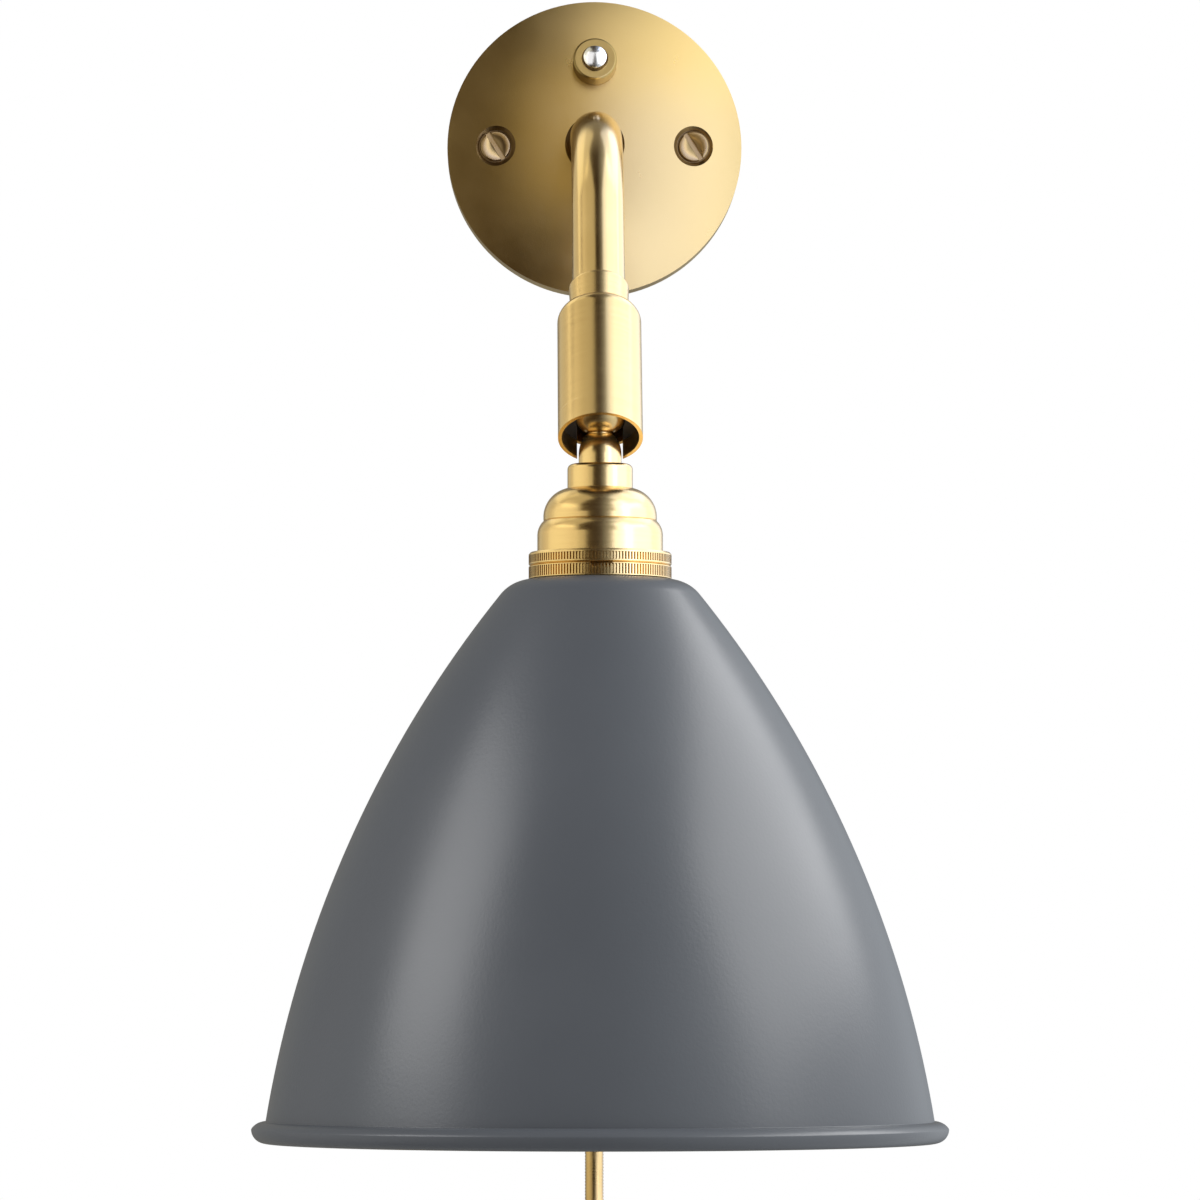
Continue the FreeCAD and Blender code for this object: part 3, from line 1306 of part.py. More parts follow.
def plug_pins():
    """Two round pins."""
    low = S["plug_sleeve"] + S["plug_length"]
    radius = S["pin_d"] / 2
    pins = []
    for side in (-1, 1):
        pin = turned("plug_pin", [
            line(0, low), line(radius, low), line(radius, low + S["pin_length"] - radius),
            arc(0, low + S["pin_length"], radius, 1)])
        pin.Placement.Base = Vector(side * S["pin_span"].value / 2, 0, 0)
        pins.append(pin)
    return grouped("plug_pins", pins, plug_place())


def coil_wire():
    """Middle line of the coil: a straight start, the wound turns and a straight end."""
    begin, end = coil_place(0.0), coil_place(float(COIL_TURNS))
    lead = Vector(0, 0, S["coil_lead"].value)
    tail = Vector(end.x, end.y, -S["cord_drop"].value - S["coil_tail"].value)
    edges = [Part.LineSegment(begin + lead, begin).toShape()]
    edges += wound_wire(coil_place, 0.0, float(COIL_TURNS), COIL_TURNS * STEPS_PER_TURN)
    edges.append(Part.LineSegment(end, tail).toShape())
    return Part.Wire(edges)


def least_gap(wire, radius, diameter):
    """Least distance of a wound tube from itself, measured on points of its middle line."""
    step = diameter / 4
    points = wire.discretize(Distance=step)
    skip = int(2 * radius / step)
    least = min((points[i] - points[j]).Length
                for i in range(len(points)) for j in range(i + skip, len(points)))
    return least - diameter


def build():
    """Make every sub-part and return the nodes in order."""
    nodes = [
        wall_cover(),
        grouped("cover_screws", [cover_screw(x) for x in screw_places()], ON_WALL),
        grouped("cover_posts", [cover_post(x) for x in screw_places()], ON_WALL),
        back_plate(),
        arm_socket(),
        grouped("socket_screws", [socket_screw(x) for x in
                                  (-S["socket_screw_span"] / 2, S["socket_screw_span"] / 2)], ON_WALL),
        arm_set_screw(),
        terminal_block(),
        grouped("terminal_screws", [terminal_screw(x) for x in
                                    (-S["block_width"] / 4, S["block_width"] / 4)], ON_WALL),
        cord_clamp(),
        grouped("clamp_screws", [clamp_screw(x) for x in clamp_screw_places()], ON_WALL),
        earth_screw(),
        switch_nut(), switch_bushing(), switch_button(), switch_body(), switch_terminals(),
        arm_tube(), arm_lead(), swivel_spigot(), swivel_nut(), friction_washer(),
        joint_sleeve(), seat_ring(), pressure_cup(), joint_spring(), joint_ball(),
        stem(), stem_nut(), head_lead(), holder_cap(),
    ]
    nodes += rings()
    nodes += [
        holder_skirt(), socket_insert(), contact_shell(), centre_contact(), bulb_cap(), bulb_globe(), shade(),
        cord_ferrule(), cord_lead_in(), power_cord(), cord_coil(), cord_tie(), plug_body(), plug_pins(),
    ]
    return nodes


def check(nodes):
    """Stop if an object failed or a sub-part has no valid solid."""
    failed = [item.Label for item in doc.Objects if {"Invalid", "Error"} & set(item.State)]
    if failed:
        raise RuntimeError("these did not recompute: " + ", ".join(failed))
    for node in nodes:
        shape = node.Shape
        if shape.isNull() or not shape.isValid() or not shape.Solids:
            raise RuntimeError(node.Label + " has no valid solid")


def report_wound():
    """Print the least gap and the length of each wound piece."""
    wire = coil_wire()
    gap = least_gap(wire, S["coil_inner"].value, S["cord_d"].value)
    length = wire.Length
    section = math.pi * (S["cord_d"].value / 2) ** 2
    volume = doc.getObject("cord_coil").Shape.Volume
    print(f"coil: least gap {gap:.2f} mm, length {length:.0f} mm, "
          f"volume {volume:.0f} for {section * length:.0f} mm3")
    straight = (S["cord_drop"].value - S["coil_lead"].value
                - S["cover_d"].value / 2 - S["ferrule_length"].value)
    print(f"cord from the ferrule to the plug: {straight + length:.0f} mm")


NODES = build()
doc.recompute()
check(NODES)
report_wound()
os.makedirs("parts", exist_ok=True)
for sub_part in NODES:
    sub_part.Shape.exportStep(f"parts/{sub_part.Label}.step")
print(f"{len(NODES)} sub-parts written")
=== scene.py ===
"""A wall light with a hanging shade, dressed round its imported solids.

The wall is the plane Y = 0, the light stands out towards -Y and Z is up. Sizes in the classes are in
millimetres; meshes are in metres.
"""

import logging
import math
from collections.abc import Callable
from dataclasses import dataclass, field
from enum import Enum

import bmesh
import bpy
import numpy as np
from bpy.types import ID, Material, Mesh, Node, NodeInputs, NodeOutputs, NodeSocket, NodeTree, Object
from mathutils import Euler, Matrix, Vector

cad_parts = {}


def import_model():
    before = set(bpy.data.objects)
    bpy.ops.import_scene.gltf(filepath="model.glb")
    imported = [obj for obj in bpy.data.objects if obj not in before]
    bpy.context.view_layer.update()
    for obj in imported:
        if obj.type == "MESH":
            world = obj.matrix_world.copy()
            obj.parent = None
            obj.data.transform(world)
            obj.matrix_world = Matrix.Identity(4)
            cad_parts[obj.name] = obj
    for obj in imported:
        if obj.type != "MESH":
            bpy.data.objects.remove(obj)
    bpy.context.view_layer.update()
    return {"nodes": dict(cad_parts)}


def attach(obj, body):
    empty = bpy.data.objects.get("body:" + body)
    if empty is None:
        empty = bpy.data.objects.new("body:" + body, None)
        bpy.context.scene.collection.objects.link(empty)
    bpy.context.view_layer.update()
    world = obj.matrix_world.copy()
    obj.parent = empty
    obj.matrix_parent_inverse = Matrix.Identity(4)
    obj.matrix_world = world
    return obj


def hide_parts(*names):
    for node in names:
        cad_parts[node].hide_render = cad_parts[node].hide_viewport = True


LOG = logging.getLogger("wall_light")
Triple = tuple[float, float, float]
MM = 0.001
# Faces in one turn of a turned piece.
FINE_TURN, COARSE_TURN = 128, 64
# Radius in millimetres under which a point is on the axis, and distance in metres at which corners join.
ON_AXIS, WELD = 1e-6, 1e-7
# Cosines between normals: under the first a corner is eased, over the second two normals are one.
SHARP, ALIKE = 0.93, 0.9
# Largest share of a span that a rounding takes, and the spans that make one rounding.
LARGEST_EASE, EASE_SPANS = 0.4, 3
# Largest error of an arc's spans as a share of its bend, and the least squared length of a span.
COARSEST_ARC, LEAST_SQUARE = 0.05, 1e-12
# Slack in millimetres where a face's place tells its finish, and edges in degrees that stay sharp.
SLACK, SHARP_SCREW, SHARP_RIB = 0.1, 30.0, 70.0
# The part of a mask's range that is spread over a finish, and how dense turning marks are crosswise.
MASK_RANGE, ACROSS_LINES = (0.3, 0.7), 40.0
# Shares of the patches and of the grain where a finish has turning marks.
PATCH_SHARE, GRAIN_SHARE = 0.5, 0.3
# Strength of every finish's bump.
BUMP_STRENGTH = 0.6
# Types of the trees' sockets.
NUMBER, VECTOR, GEOMETRY = "NodeSocketFloat", "NodeSocketVector", "NodeSocketGeometry"


class Body(Enum):
    """The bodies that pieces ride on."""

    ROSE = "mount_and_arm"
    BUTTON = "button"
    SLEEVE = "sleeve"
    BALL = "ball"
    HEAD = "head"


@dataclass(frozen=True)
class Step:
    """A step of a turned outline: a point, reached by a line, or by an arc if it has a bend.

    The turn is 1 for counterclockwise and -1 for clockwise; skin is the material of the stretch.
    """

    along: float
    up: float
    bend: float = 0.0
    turn: int = 1
    skin: int = 0


@dataclass(frozen=True)
class Span:
    """A short straight stretch of an outline with the true normal at both ends."""

    start: Vector
    end: Vector
    start_normal: Vector
    end_normal: Vector
    skin: int


@dataclass
class Outline:
    """A closed outline of radius against height, in millimetres."""

    steps: list[Step]
    edge: float = 0.12
    error: float = 0.01

    def spans(self) -> list[Span]:
        """Cut the outline into short spans, with its corners eased.

        Returns:
            The spans in order, with normals that point out of the solid.
        """
        raw: list[Span] = []
        points = [Vector((s.along, s.up)) for s in self.steps]
        area = sum(a.x * b.y - b.x * a.y for a, b in zip(points, points[1:] + points[:1]))
        side = 1.0 if area > 0 else -1.0
        for index, start in enumerate(points):
            following = (index + 1) % len(points)
            raw += self._stretch(start, points[following], self.steps[following], side)
        return self._eased(raw)

    def _stretch(self, start: Vector, end: Vector, step: Step, side: float) -> list[Span]:
        """Make the spans of one line or arc.

        Args:
            start: First point.
            end: Last point.
            step: The step that leads to the last point.
            side: 1 where the outline runs counterclockwise.

        Returns:
            One span for a line, several for an arc.
        """
        if step.bend == 0:
            way = (end - start).normalized()
            normal = Vector((way.y, -way.x)) * side
            return [Span(start, end, normal, normal, step.skin)]
        chord = end - start
        reach = math.sqrt(max(step.bend**2 - (chord.length / 2) ** 2, 0.0))
        left = Vector((-chord.y, chord.x)).normalized()
        centre = (start + end) / 2 + left * reach * step.turn
        first = math.atan2(start.y - centre.y, start.x - centre.x)
        last = math.atan2(end.y - centre.y, end.x - centre.x)
        if step.turn > 0 and last < first:
            last += 2 * math.pi
        if step.turn < 0 and last > first:
            last -= 2 * math.pi
        widest = 2 * math.acos(1 - min(self.error / step.bend, COARSEST_ARC))
        count = max(2, math.ceil(abs(last - first) / widest))
        angles = [first + (last - first) * k / count for k in range(count + 1)]
        rays = [Vector((math.cos(a), math.sin(a))) for a in angles]
        places = [centre + ray * step.bend for ray in rays]
        facing = step.turn * side
        return [Span(places[k], places[k + 1], rays[k] * facing, rays[k + 1] * facing, step.skin)
                for k in range(count)]

    def _eased(self, raw: list[Span]) -> list[Span]:
        """Round each sharp corner between spans.

        Args:
            raw: Spans with sharp corners.

        Returns:
            The spans with three short ones at each corner.
        """
        count = len(raw)
        sharp = [raw[k].end_normal.dot(raw[(k + 1) % count].start_normal) < SHARP for k in range(count)]
        off_axis = [span.end.x > ON_AXIS for span in raw]
        result: list[Span] = []
        for k, span in enumerate(raw):
            before, after = sharp[k - 1] and off_axis[k - 1], sharp[k] and off_axis[k]
            start = span.start + self._ease(span) if before else span.start
            end = span.end - self._ease(span) if after else span.end
            result.append(Span(start, end, span.start_normal, span.end_normal, span.skin))
            if after:
                result += self._corner(end, span, raw[(k + 1) % count])
        return result

    def _ease(self, span: Span) -> Vector:
        """How far a rounding reaches along a span."""
        way = span.end - span.start
        return way.normalized() * min(self.edge, way.length * LARGEST_EASE)

    def _corner(self, end: Vector, span: Span, following: Span) -> list[Span]:
        """Three short spans round a corner.

        Args:
            end: Where the first span now ends.
            span: The span before the corner.
            following: The span after it.

        Returns:
            The spans of the rounding.
        """
        last = following.start + self._ease(following)
        shares = [k / EASE_SPANS for k in range(EASE_SPANS + 1)]
        places = [end * (1 - t) ** 2 + span.end * 2 * t * (1 - t) + last * t**2 for t in shares]
        normals = [(span.end_normal * (1 - t) + following.start_normal * t).normalized() for t in shares]
        return [Span(places[k], places[k + 1], normals[k], normals[k + 1], span.skin)
                for k in range(EASE_SPANS)]


def thread(start: float, end: float, pitch: float, ridge: tuple[tuple[float, float], ...]) -> list[Step]:
    """Make the steps of a thread's ridges.

    Args:
        start: Height of the first ridge.
        end: Height at which no further ridge starts.
        pitch: Height from one ridge to the next.
        ridge: Radius and height over its start for each step of a ridge.

    Returns:
        The steps, upwards.
    """
    steps, up = [], start
    while up < end:
        steps += [Step(radius, up + over) for radius, over in ridge]
        up += pitch
    return steps


def turned_mesh(name: str, outline: Outline, place: Matrix, turns: int = FINE_TURN) -> Mesh:
    """Revolve an outline round the local Z, with exact normals.

    Args:
        name: Name of the mesh.
        outline: The closed outline.
        place: Where the local frame stands, in millimetres.
        turns: Faces in one turn.

    Returns:
        The mesh, in metres.
    """
    spans = outline.spans()
    verts: list[Vector] = []
    rings: list[list[int]] = []
    angles = [2 * math.pi * k / turns for k in range(turns)]
    for span in spans:
        if span.start.x < ON_AXIS:
            rings.append([len(verts)] * turns)
            verts.append(Vector((0, 0, span.start.y)))
            continue
        rings.append(list(range(len(verts), len(verts) + turns)))
        verts += [Vector((span.start.x * math.cos(a), span.start.x * math.sin(a), span.start.y))
                  for a in angles]
    faces, normals, skins = [], [], []
    spin = place.to_3x3()
    area = sum(s.start.x * s.end.y - s.end.x * s.start.y for s in spans)
    for index, span in enumerate(spans):
        here, there = rings[index], rings[(index + 1) % len(spans)]
        if span.start.x < ON_AXIS and span.end.x < ON_AXIS:
            continue
        for k in range(turns):
            following = (k + 1) % turns
            corners = [
                (here[k], span.start_normal, angles[k]),
                (here[following], span.start_normal, angles[following]),
                (there[following], span.end_normal, angles[following]),
                (there[k], span.end_normal, angles[k]),
            ]
            if span.start.x < ON_AXIS:
                corners.pop(0)
            elif span.end.x < ON_AXIS:
                corners.pop(2)
            if area < 0:
                corners.reverse()
            faces.append([c[0] for c in corners])
            skins.append(span.skin)
            normals += [spin @ Vector((n.x * math.cos(a), n.x * math.sin(a), n.y)) for _, n, a in corners]
    mesh = bpy.data.meshes.new(name)
    mesh.from_pydata([(place @ v) * MM for v in verts], [], faces)
    mesh.polygons.foreach_set("material_index", skins)
    mesh.polygons.foreach_set("use_smooth", [True] * len(faces))
    mesh.normals_split_custom_set(normals)
    return mesh


def true_normals(mesh: Mesh, outline: Outline, place: Matrix, reach: float = 0.05) -> None:
    """Give a mesh cut from a turned solid the exact normals of its turned faces.

    Args:
        mesh: The mesh, in metres.
        outline: The turned outline that it was cut from.
        place: The outline's frame, in millimetres.
        reach: How far a corner may lie from the outline.
    """
    spans = outline.spans()
    starts = np.array([s.start[:] for s in spans])
    ways = np.array([(s.end - s.start)[:] for s in spans])
    lengths = np.maximum((ways**2).sum(1), LEAST_SQUARE)
    first = np.array([s.start_normal[:] for s in spans])
    last = np.array([s.end_normal[:] for s in spans])
    back = place.inverted()
    spin, unspin = place.to_3x3(), back.to_3x3()
    normals: list[Vector] = []
    for face in mesh.polygons:
        flat = unspin @ face.normal
        for corner in face.vertices:
            point = back @ (mesh.vertices[corner].co / MM)
            radius = math.hypot(point.x, point.y)
            if radius < ON_AXIS:
                normals.append(face.normal.copy())
                continue
            outward = Vector((point.x / radius, point.y / radius, 0))
            seen = np.array((flat.dot(outward), flat.z))
            offset = np.array((radius, point.z)) - starts
            share = np.clip((offset * ways).sum(1) / lengths, 0, 1)
            apart = np.linalg.norm(offset - ways * share[:, None], axis=1)
            mixed = first * (1 - share[:, None]) + last * share[:, None]
            fits = (apart < reach) & (mixed @ seen > ALIKE)
            if not fits.any():
                normals.append(face.normal.copy())
                continue
            best = mixed[np.where(fits, apart - mixed @ seen * reach, np.inf).argmin()]
            normals.append((spin @ (outward * best[0] + Vector((0, 0, best[1])))).normalized())
    mesh.polygons.foreach_set("use_smooth", [True] * len(mesh.polygons))
    mesh.normals_split_custom_set(normals)


def exact_copy(name: str, node: str, outline: Outline, place: Matrix,
               second: Callable[[Vector], bool] = lambda _: False) -> Mesh:
    """Copy a solid's mesh with its loose triangles joined and with exact normals.

    Args:
        name: Name of the copy.
        node: The solid.
        outline: The turned outline that it was cut from.
        place: The outline's frame, in millimetres.
        second: Tells by a face's middle whether the face takes the second finish.

    Returns:
        The mesh.
    """
    mesh = bpy.data.objects[node].data.copy()
    mesh.name = name
    mesh.materials.clear()
    work = bmesh.new()
    work.from_mesh(mesh)
    bmesh.ops.remove_doubles(work, verts=work.verts, dist=WELD)
    work.to_mesh(mesh)
    work.free()
    true_normals(mesh, outline, place)
    back = place.inverted()
    skins = [int(second(back @ (face.center / MM))) for face in mesh.polygons]
    mesh.polygons.foreach_set("material_index", skins)
    return mesh


def linked(name: str, data: ID) -> Object:
    """Make an object and link it to the scene."""
    item = bpy.data.objects.new(name, data)
    bpy.context.scene.collection.objects.link(item)
    return item


class Nodes:
    """A small helper that adds and links nodes of one tree."""

    def __init__(self, tree: NodeTree) -> None:
        """Keep the tree."""
        self.tree = tree

    def add(self, kind: str, **values: object) -> Node:
        """Add a node.

        Args:
            kind: The node's type.
            values: Its properties, or sockets as s_Name, with _ for a space, or as i_Number.

        Returns:
            The node.
        """
        node = self.tree.nodes.new(kind)
        for key, value in values.items():
            if key.startswith("s_"):
                self.put(node.inputs[key[2:].replace("_", " ")], value)
            elif key.startswith("i_"):
                self.put(node.inputs[int(key[2:])], value)
            else:
                setattr(node, key, value)
        return node

    def put(self, socket: NodeSocket, value: object) -> None:
        """Link an output to a socket, or set its value."""
        if isinstance(value, NodeSocket):
            self.tree.links.new(value, socket)
        else:
            socket.default_value = value

    def math(self, operation: str, *values: object) -> NodeSocket:
        """Add a math node and return its result."""
        inputs = {f"i_{index}": value for index, value in enumerate(values)}
        return self.add("ShaderNodeMath", operation=operation, **inputs).outputs[0]

    def noise(self, vector: object, scale: object, detail: float) -> NodeSocket:
        """Add a noise texture and return its value."""
        return self.add("ShaderNodeTexNoise", s_Vector=vector, s_Scale=scale, s_Detail=detail).outputs["Fac"]

    def group(self, name: str, **values: object) -> NodeOutputs:
        """Add a shader group and return its outputs."""
        return self.add("ShaderNodeGroup", node_tree=bpy.data.node_groups[name], **values).outputs

    def blend(self, first: object, second: object, share: float) -> NodeSocket:
        """Add a share of one value to the rest of another."""
        return self.math("ADD", self.math("MULTIPLY", first, share), self.math("MULTIPLY", second, 1 - share))

    def mix(self, share: object, near: object, far: object, blend: str = "MIX") -> NodeSocket:
        """Add a colour mix node and return its result."""
        return self.add("ShaderNodeMix", data_type="RGBA", blend_type=blend, i_0=share, i_6=near,
                        i_7=far).outputs[2]


def start_tree(name: str, kind: str, inputs: dict[str, str | float],
               outputs: dict[str, str]) -> tuple[Nodes, NodeOutputs, NodeInputs]:
    """Start a shader group or a Geometry Nodes tree.

    Args:
        name: Name of the tree.
        kind: Type of the tree.
        inputs: Name to socket type of each input, or a number's default.
        outputs: Name to socket type of each output.

    Returns:
        The tree's helper, its given sockets and the sockets to fill.
    """
    tree = bpy.data.node_groups.new(name, kind)
    for label, value in inputs.items():
        typed = isinstance(value, str)
        socket = tree.interface.new_socket(label, in_out="INPUT", socket_type=value if typed else NUMBER)
        if not typed:
            socket.default_value = value
    for label, value in outputs.items():
        tree.interface.new_socket(label, in_out="OUTPUT", socket_type=value)
    nodes = Nodes(tree)
    return nodes, nodes.add("NodeGroupInput").outputs, nodes.add("NodeGroupOutput").inputs


def make_turning_marks() -> None:
    """Make the group of fine lines round a piece's axis, as a lathe leaves them."""
    nodes, given, out = start_tree("turning_marks", "ShaderNodeTree", {"Vector": VECTOR, "Lines": 1500.0},
                                   {"Mask": NUMBER})
    parts = nodes.add("ShaderNodeSeparateXYZ", i_0=given["Vector"])
    joined = nodes.add(
        "ShaderNodeCombineXYZ",
        i_0=nodes.math("MULTIPLY", parts.outputs["X"], ACROSS_LINES),
        i_1=nodes.math("MULTIPLY", parts.outputs["Y"], ACROSS_LINES),
        i_2=nodes.math("MULTIPLY", parts.outputs["Z"], given["Lines"]),
    )
    nodes.put(out["Mask"], nodes.noise(joined.outputs[0], 1.0, 3.0))


def make_surface_grain() -> None:
    """Make the group of fine grain with larger, softer patches."""
    nodes, given, out = start_tree("surface_grain", "ShaderNodeTree",
                                   {"Vector": VECTOR, "Fine": 2500.0, "Soft": 40.0},
                                   {"Grain": NUMBER, "Patches": NUMBER})
    nodes.put(out["Grain"], nodes.noise(given["Vector"], given["Fine"], 2.0))
    nodes.put(out["Patches"], nodes.noise(given["Vector"], given["Soft"], 4.0))


def make_band_mix() -> None:
    """Make the group that turns a mask into a value between two limits."""
    nodes, given, out = start_tree("band_mix", "ShaderNodeTree", {"Mask": 0.5, "Low": 0.2, "High": 0.4},
                                   {"Value": NUMBER})
    spread = nodes.add("ShaderNodeMapRange", i_0=given["Mask"], i_1=MASK_RANGE[0], i_2=MASK_RANGE[1],
                       i_3=given["Low"], i_4=given["High"])
    nodes.put(out["Value"], spread.outputs[0])


@dataclass(frozen=True)
class Finish:
    """What every finish shares: a name, a colour range and a roughness range."""

    name: str
    dark: Triple
    light: Triple
    rough_low: float
    rough_high: float
    origin: Triple = (0.0, 0.0, 0.0)
    lean: float = 0.0
    fine: float = 2500.0
    soft: float = 40.0
    lines: float = 0.0
    bump: float = 0.00002
    metal: float = 1.0

    def build(self) -> Material:
        """Make the material."""
        material = bpy.data.materials.new(self.name)
        material.use_nodes = True
        material.diffuse_color = (*self.light, 1)
        material.node_tree.nodes.clear()
        nodes = Nodes(material.node_tree)
        shader = nodes.add("ShaderNodeBsdfPrincipled")
        nodes.put(nodes.add("ShaderNodeOutputMaterial").inputs[0], shader.outputs[0])
        coords = nodes.add("ShaderNodeTexCoord")
        vector = nodes.add(
            "ShaderNodeMapping", vector_type="TEXTURE", s_Vector=coords.outputs["Object"],
            s_Location=[c * MM for c in self.origin], s_Rotation=(math.radians(self.lean), 0, 0),
        ).outputs[0]
        grain = nodes.group("surface_grain", s_Vector=vector, s_Fine=self.fine, s_Soft=self.soft)
        mask, height = grain["Patches"], grain["Grain"]
        if self.lines:
            marks = nodes.group("turning_marks", s_Vector=vector, s_Lines=self.lines)["Mask"]
            mask = nodes.blend(mask, marks, PATCH_SHARE)
            height = nodes.blend(height, marks, GRAIN_SHARE)
        colour = nodes.mix(mask, (*self.dark, 1), (*self.light, 1))
        rough = nodes.group("band_mix", s_Mask=mask, s_Low=self.rough_low, s_High=self.rough_high)
        bump = nodes.add("ShaderNodeBump", s_Strength=BUMP_STRENGTH, s_Distance=self.bump, s_Height=height)
        nodes.put(shader.inputs["Base Color"], colour)
        nodes.put(shader.inputs["Roughness"], rough["Value"])
        nodes.put(shader.inputs["Normal"], bump.outputs[0])
        shader.inputs["Metallic"].default_value = self.metal
        self.finish_shader(shader)
        return material

    def finish_shader(self, shader: Node) -> None:
        """Set what only some finishes have; this one has nothing more."""


@dataclass(frozen=True)
class Plain(Finish):
    """A finish that isn't metal."""

    metal: float = 0.0


@dataclass(frozen=True)
class Paint(Plain):
    """Sprayed paint with a soft peel."""

    fine: float = 1300.0
    soft: float = 22.0
    bump: float = 0.00004


@dataclass(frozen=True)
class OpalGlass(Plain):
    """White glass that lets light through."""

    clear: float = 0.55
    index: float = 1.5

    def finish_shader(self, shader: Node) -> None:
        """Let light through the glass."""
        shader.inputs["Transmission Weight"].default_value = self.clear
        shader.inputs["IOR"].default_value = self.index


@dataclass
class Palette:
    """All finishes of the light, built once, and the pieces that wear them."""

    made: dict[str, Material] = field(default_factory=dict)

    def fill(self, ball: Vector, lean: float) -> None:
        """Build every finish.

        Args:
            ball: Centre of the ball, in millimetres, where the turned pieces' marks start.
            lean: Angle of the arm's end from upright, in degrees.
        """
        centre = tuple(ball)
        gold_dark, gold_light = (0.66, 0.465, 0.20), (0.81, 0.60, 0.29)
        finishes = [
            Finish("rose_brass", (0.66, 0.48, 0.18), (0.75, 0.56, 0.24), 0.27, 0.35, fine=5200.0, soft=60.0,
                   bump=0.00003),
            Finish("tube_brass", gold_dark, gold_light, 0.17, 0.23, centre, -lean, 3000.0, 70.0,
                   bump=0.000004),
            Finish("sleeve_brass", gold_dark, gold_light, 0.20, 0.28, centre, -lean, 2600.0, 60.0, 1900.0,
                   0.00001),
            Finish("head_brass", gold_dark, gold_light, 0.20, 0.28, centre, 0.0, 2600.0, 60.0, 2300.0,
                   0.00001),
            # Painted shade: a darker copy of the sleeve's brass for the inside of the sleeve's bore.
            Finish("shaded_bore_brass", (0.56, 0.39, 0.16), (0.69, 0.49, 0.22), 0.28, 0.36, centre, -lean,
                   2600.0, 90.0, 1900.0, 0.00001),
            # Painted shade: a dark brass for the parts inside the light, the threaded skirt and the hidden
            # solids.
            Finish("inner_brass", (0.40, 0.26, 0.10), (0.56, 0.37, 0.15), 0.30, 0.45, centre, -lean,
                   2600.0, 90.0, 1500.0),
            Finish("nut_brass", (0.49, 0.355, 0.125), (0.58, 0.43, 0.17), 0.28, 0.36, fine=900.0, soft=60.0),
            Finish("screw_brass", (0.46, 0.33, 0.16), (0.60, 0.44, 0.22), 0.25, 0.38, fine=3500.0,
                   soft=300.0),
            # Painted shade: a dark brown brass for the hollows of the screw recesses in the cover.
            Finish("dished_brass", (0.20, 0.13, 0.05), (0.30, 0.20, 0.085), 0.30, 0.42, fine=3500.0,
                   soft=200.0),
            Finish("cord_spiral", (0.38, 0.25, 0.09), (0.58, 0.41, 0.19), 0.24, 0.36, fine=1500.0,
                   soft=120.0),
            Finish("zinc_steel", (0.42, 0.42, 0.42), (0.60, 0.60, 0.59), 0.32, 0.5, fine=1800.0, soft=80.0),
            Finish("polished_chrome", (0.80, 0.80, 0.81), (0.90, 0.90, 0.91), 0.16, 0.24, fine=900.0,
                   soft=90.0, bump=0.000003),
            Finish("nickel_pin", (0.60, 0.58, 0.54), (0.74, 0.72, 0.68), 0.16, 0.28, fine=1500.0, soft=90.0),
            Paint("grey_paint", (0.082, 0.090, 0.103), (0.095, 0.104, 0.118), 0.28, 0.35),
            Paint("inner_paint", (0.76, 0.76, 0.74), (0.84, 0.84, 0.82), 0.45, 0.58),
            Plain("black_plastic", (0.012, 0.012, 0.013), (0.024, 0.024, 0.025), 0.42, 0.6, fine=1700.0,
                  soft=60.0, bump=0.00005),
            Plain("flex_sheath", (0.02, 0.02, 0.021), (0.035, 0.035, 0.036), 0.5, 0.62, fine=1200.0,
                  soft=80.0),
            Plain("strap_weave", (0.014, 0.014, 0.015), (0.035, 0.035, 0.037), 0.7, 0.9, fine=1900.0,
                  soft=200.0, lines=1400.0, bump=0.00015),
            OpalGlass("opal_glass", (0.86, 0.86, 0.84), (0.93, 0.93, 0.91), 0.18, 0.26, fine=400.0, soft=30.0,
                      bump=0.000005),
        ]
        self.made = {finish.name: finish.build() for finish in finishes}

    def piece(self, name: str, mesh: Mesh, body: Body, slot: str, nodes: tuple[str, ...],
              *skins: str) -> Object:
        """Link a mesh as a finished piece and dress it; each face keeps its material slot.

        Args:
            name: Name of the piece.
            mesh: Its mesh, in place.
            body: The body that it rides on.
            slot: The record's material slot; it is not used.
            nodes: The solids that it stands for.
            skins: Its finishes, in the order of its material slots.

        Returns:
            The object.
        """
        slots = [face.material_index for face in mesh.polygons]
        mesh.materials.clear()
        for skin in skins:
            mesh.materials.append(self.made[skin])
        mesh.polygons.foreach_set("material_index", slots)
        piece = linked(name, mesh)
        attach(piece, body.value)
        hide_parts(*nodes)
        LOG.info("%s: %d faces", name, len(mesh.polygons))
        return piece

    def turned(self, name: str, outline: Outline, place: Matrix, body: Body, slot: str, node: str,
               *skins: str, turns: int = FINE_TURN) -> None:
        """Turn an outline into a finished piece that stands for one solid.

        Args:
            name: Name of the piece.
            outline: Its closed outline.
            place: Where its frame stands, in millimetres.
            body: The body that it rides on.
            slot: The record's material slot.
            node: The solid that it stands for.
            skins: Its finishes, in the order of its material slots.
            turns: Faces in one turn.
        """
        self.piece(name, turned_mesh(name, outline, place, turns), body, slot, (node,), *skins)

    def dress_solid(self, node: Object, name: str) -> None:
        """Put a finish in every material slot of a solid that stays."""
        for slot in node.material_slots:
            slot.material = self.made[name]
        if not node.material_slots:
            node.data.materials.append(self.made[name])


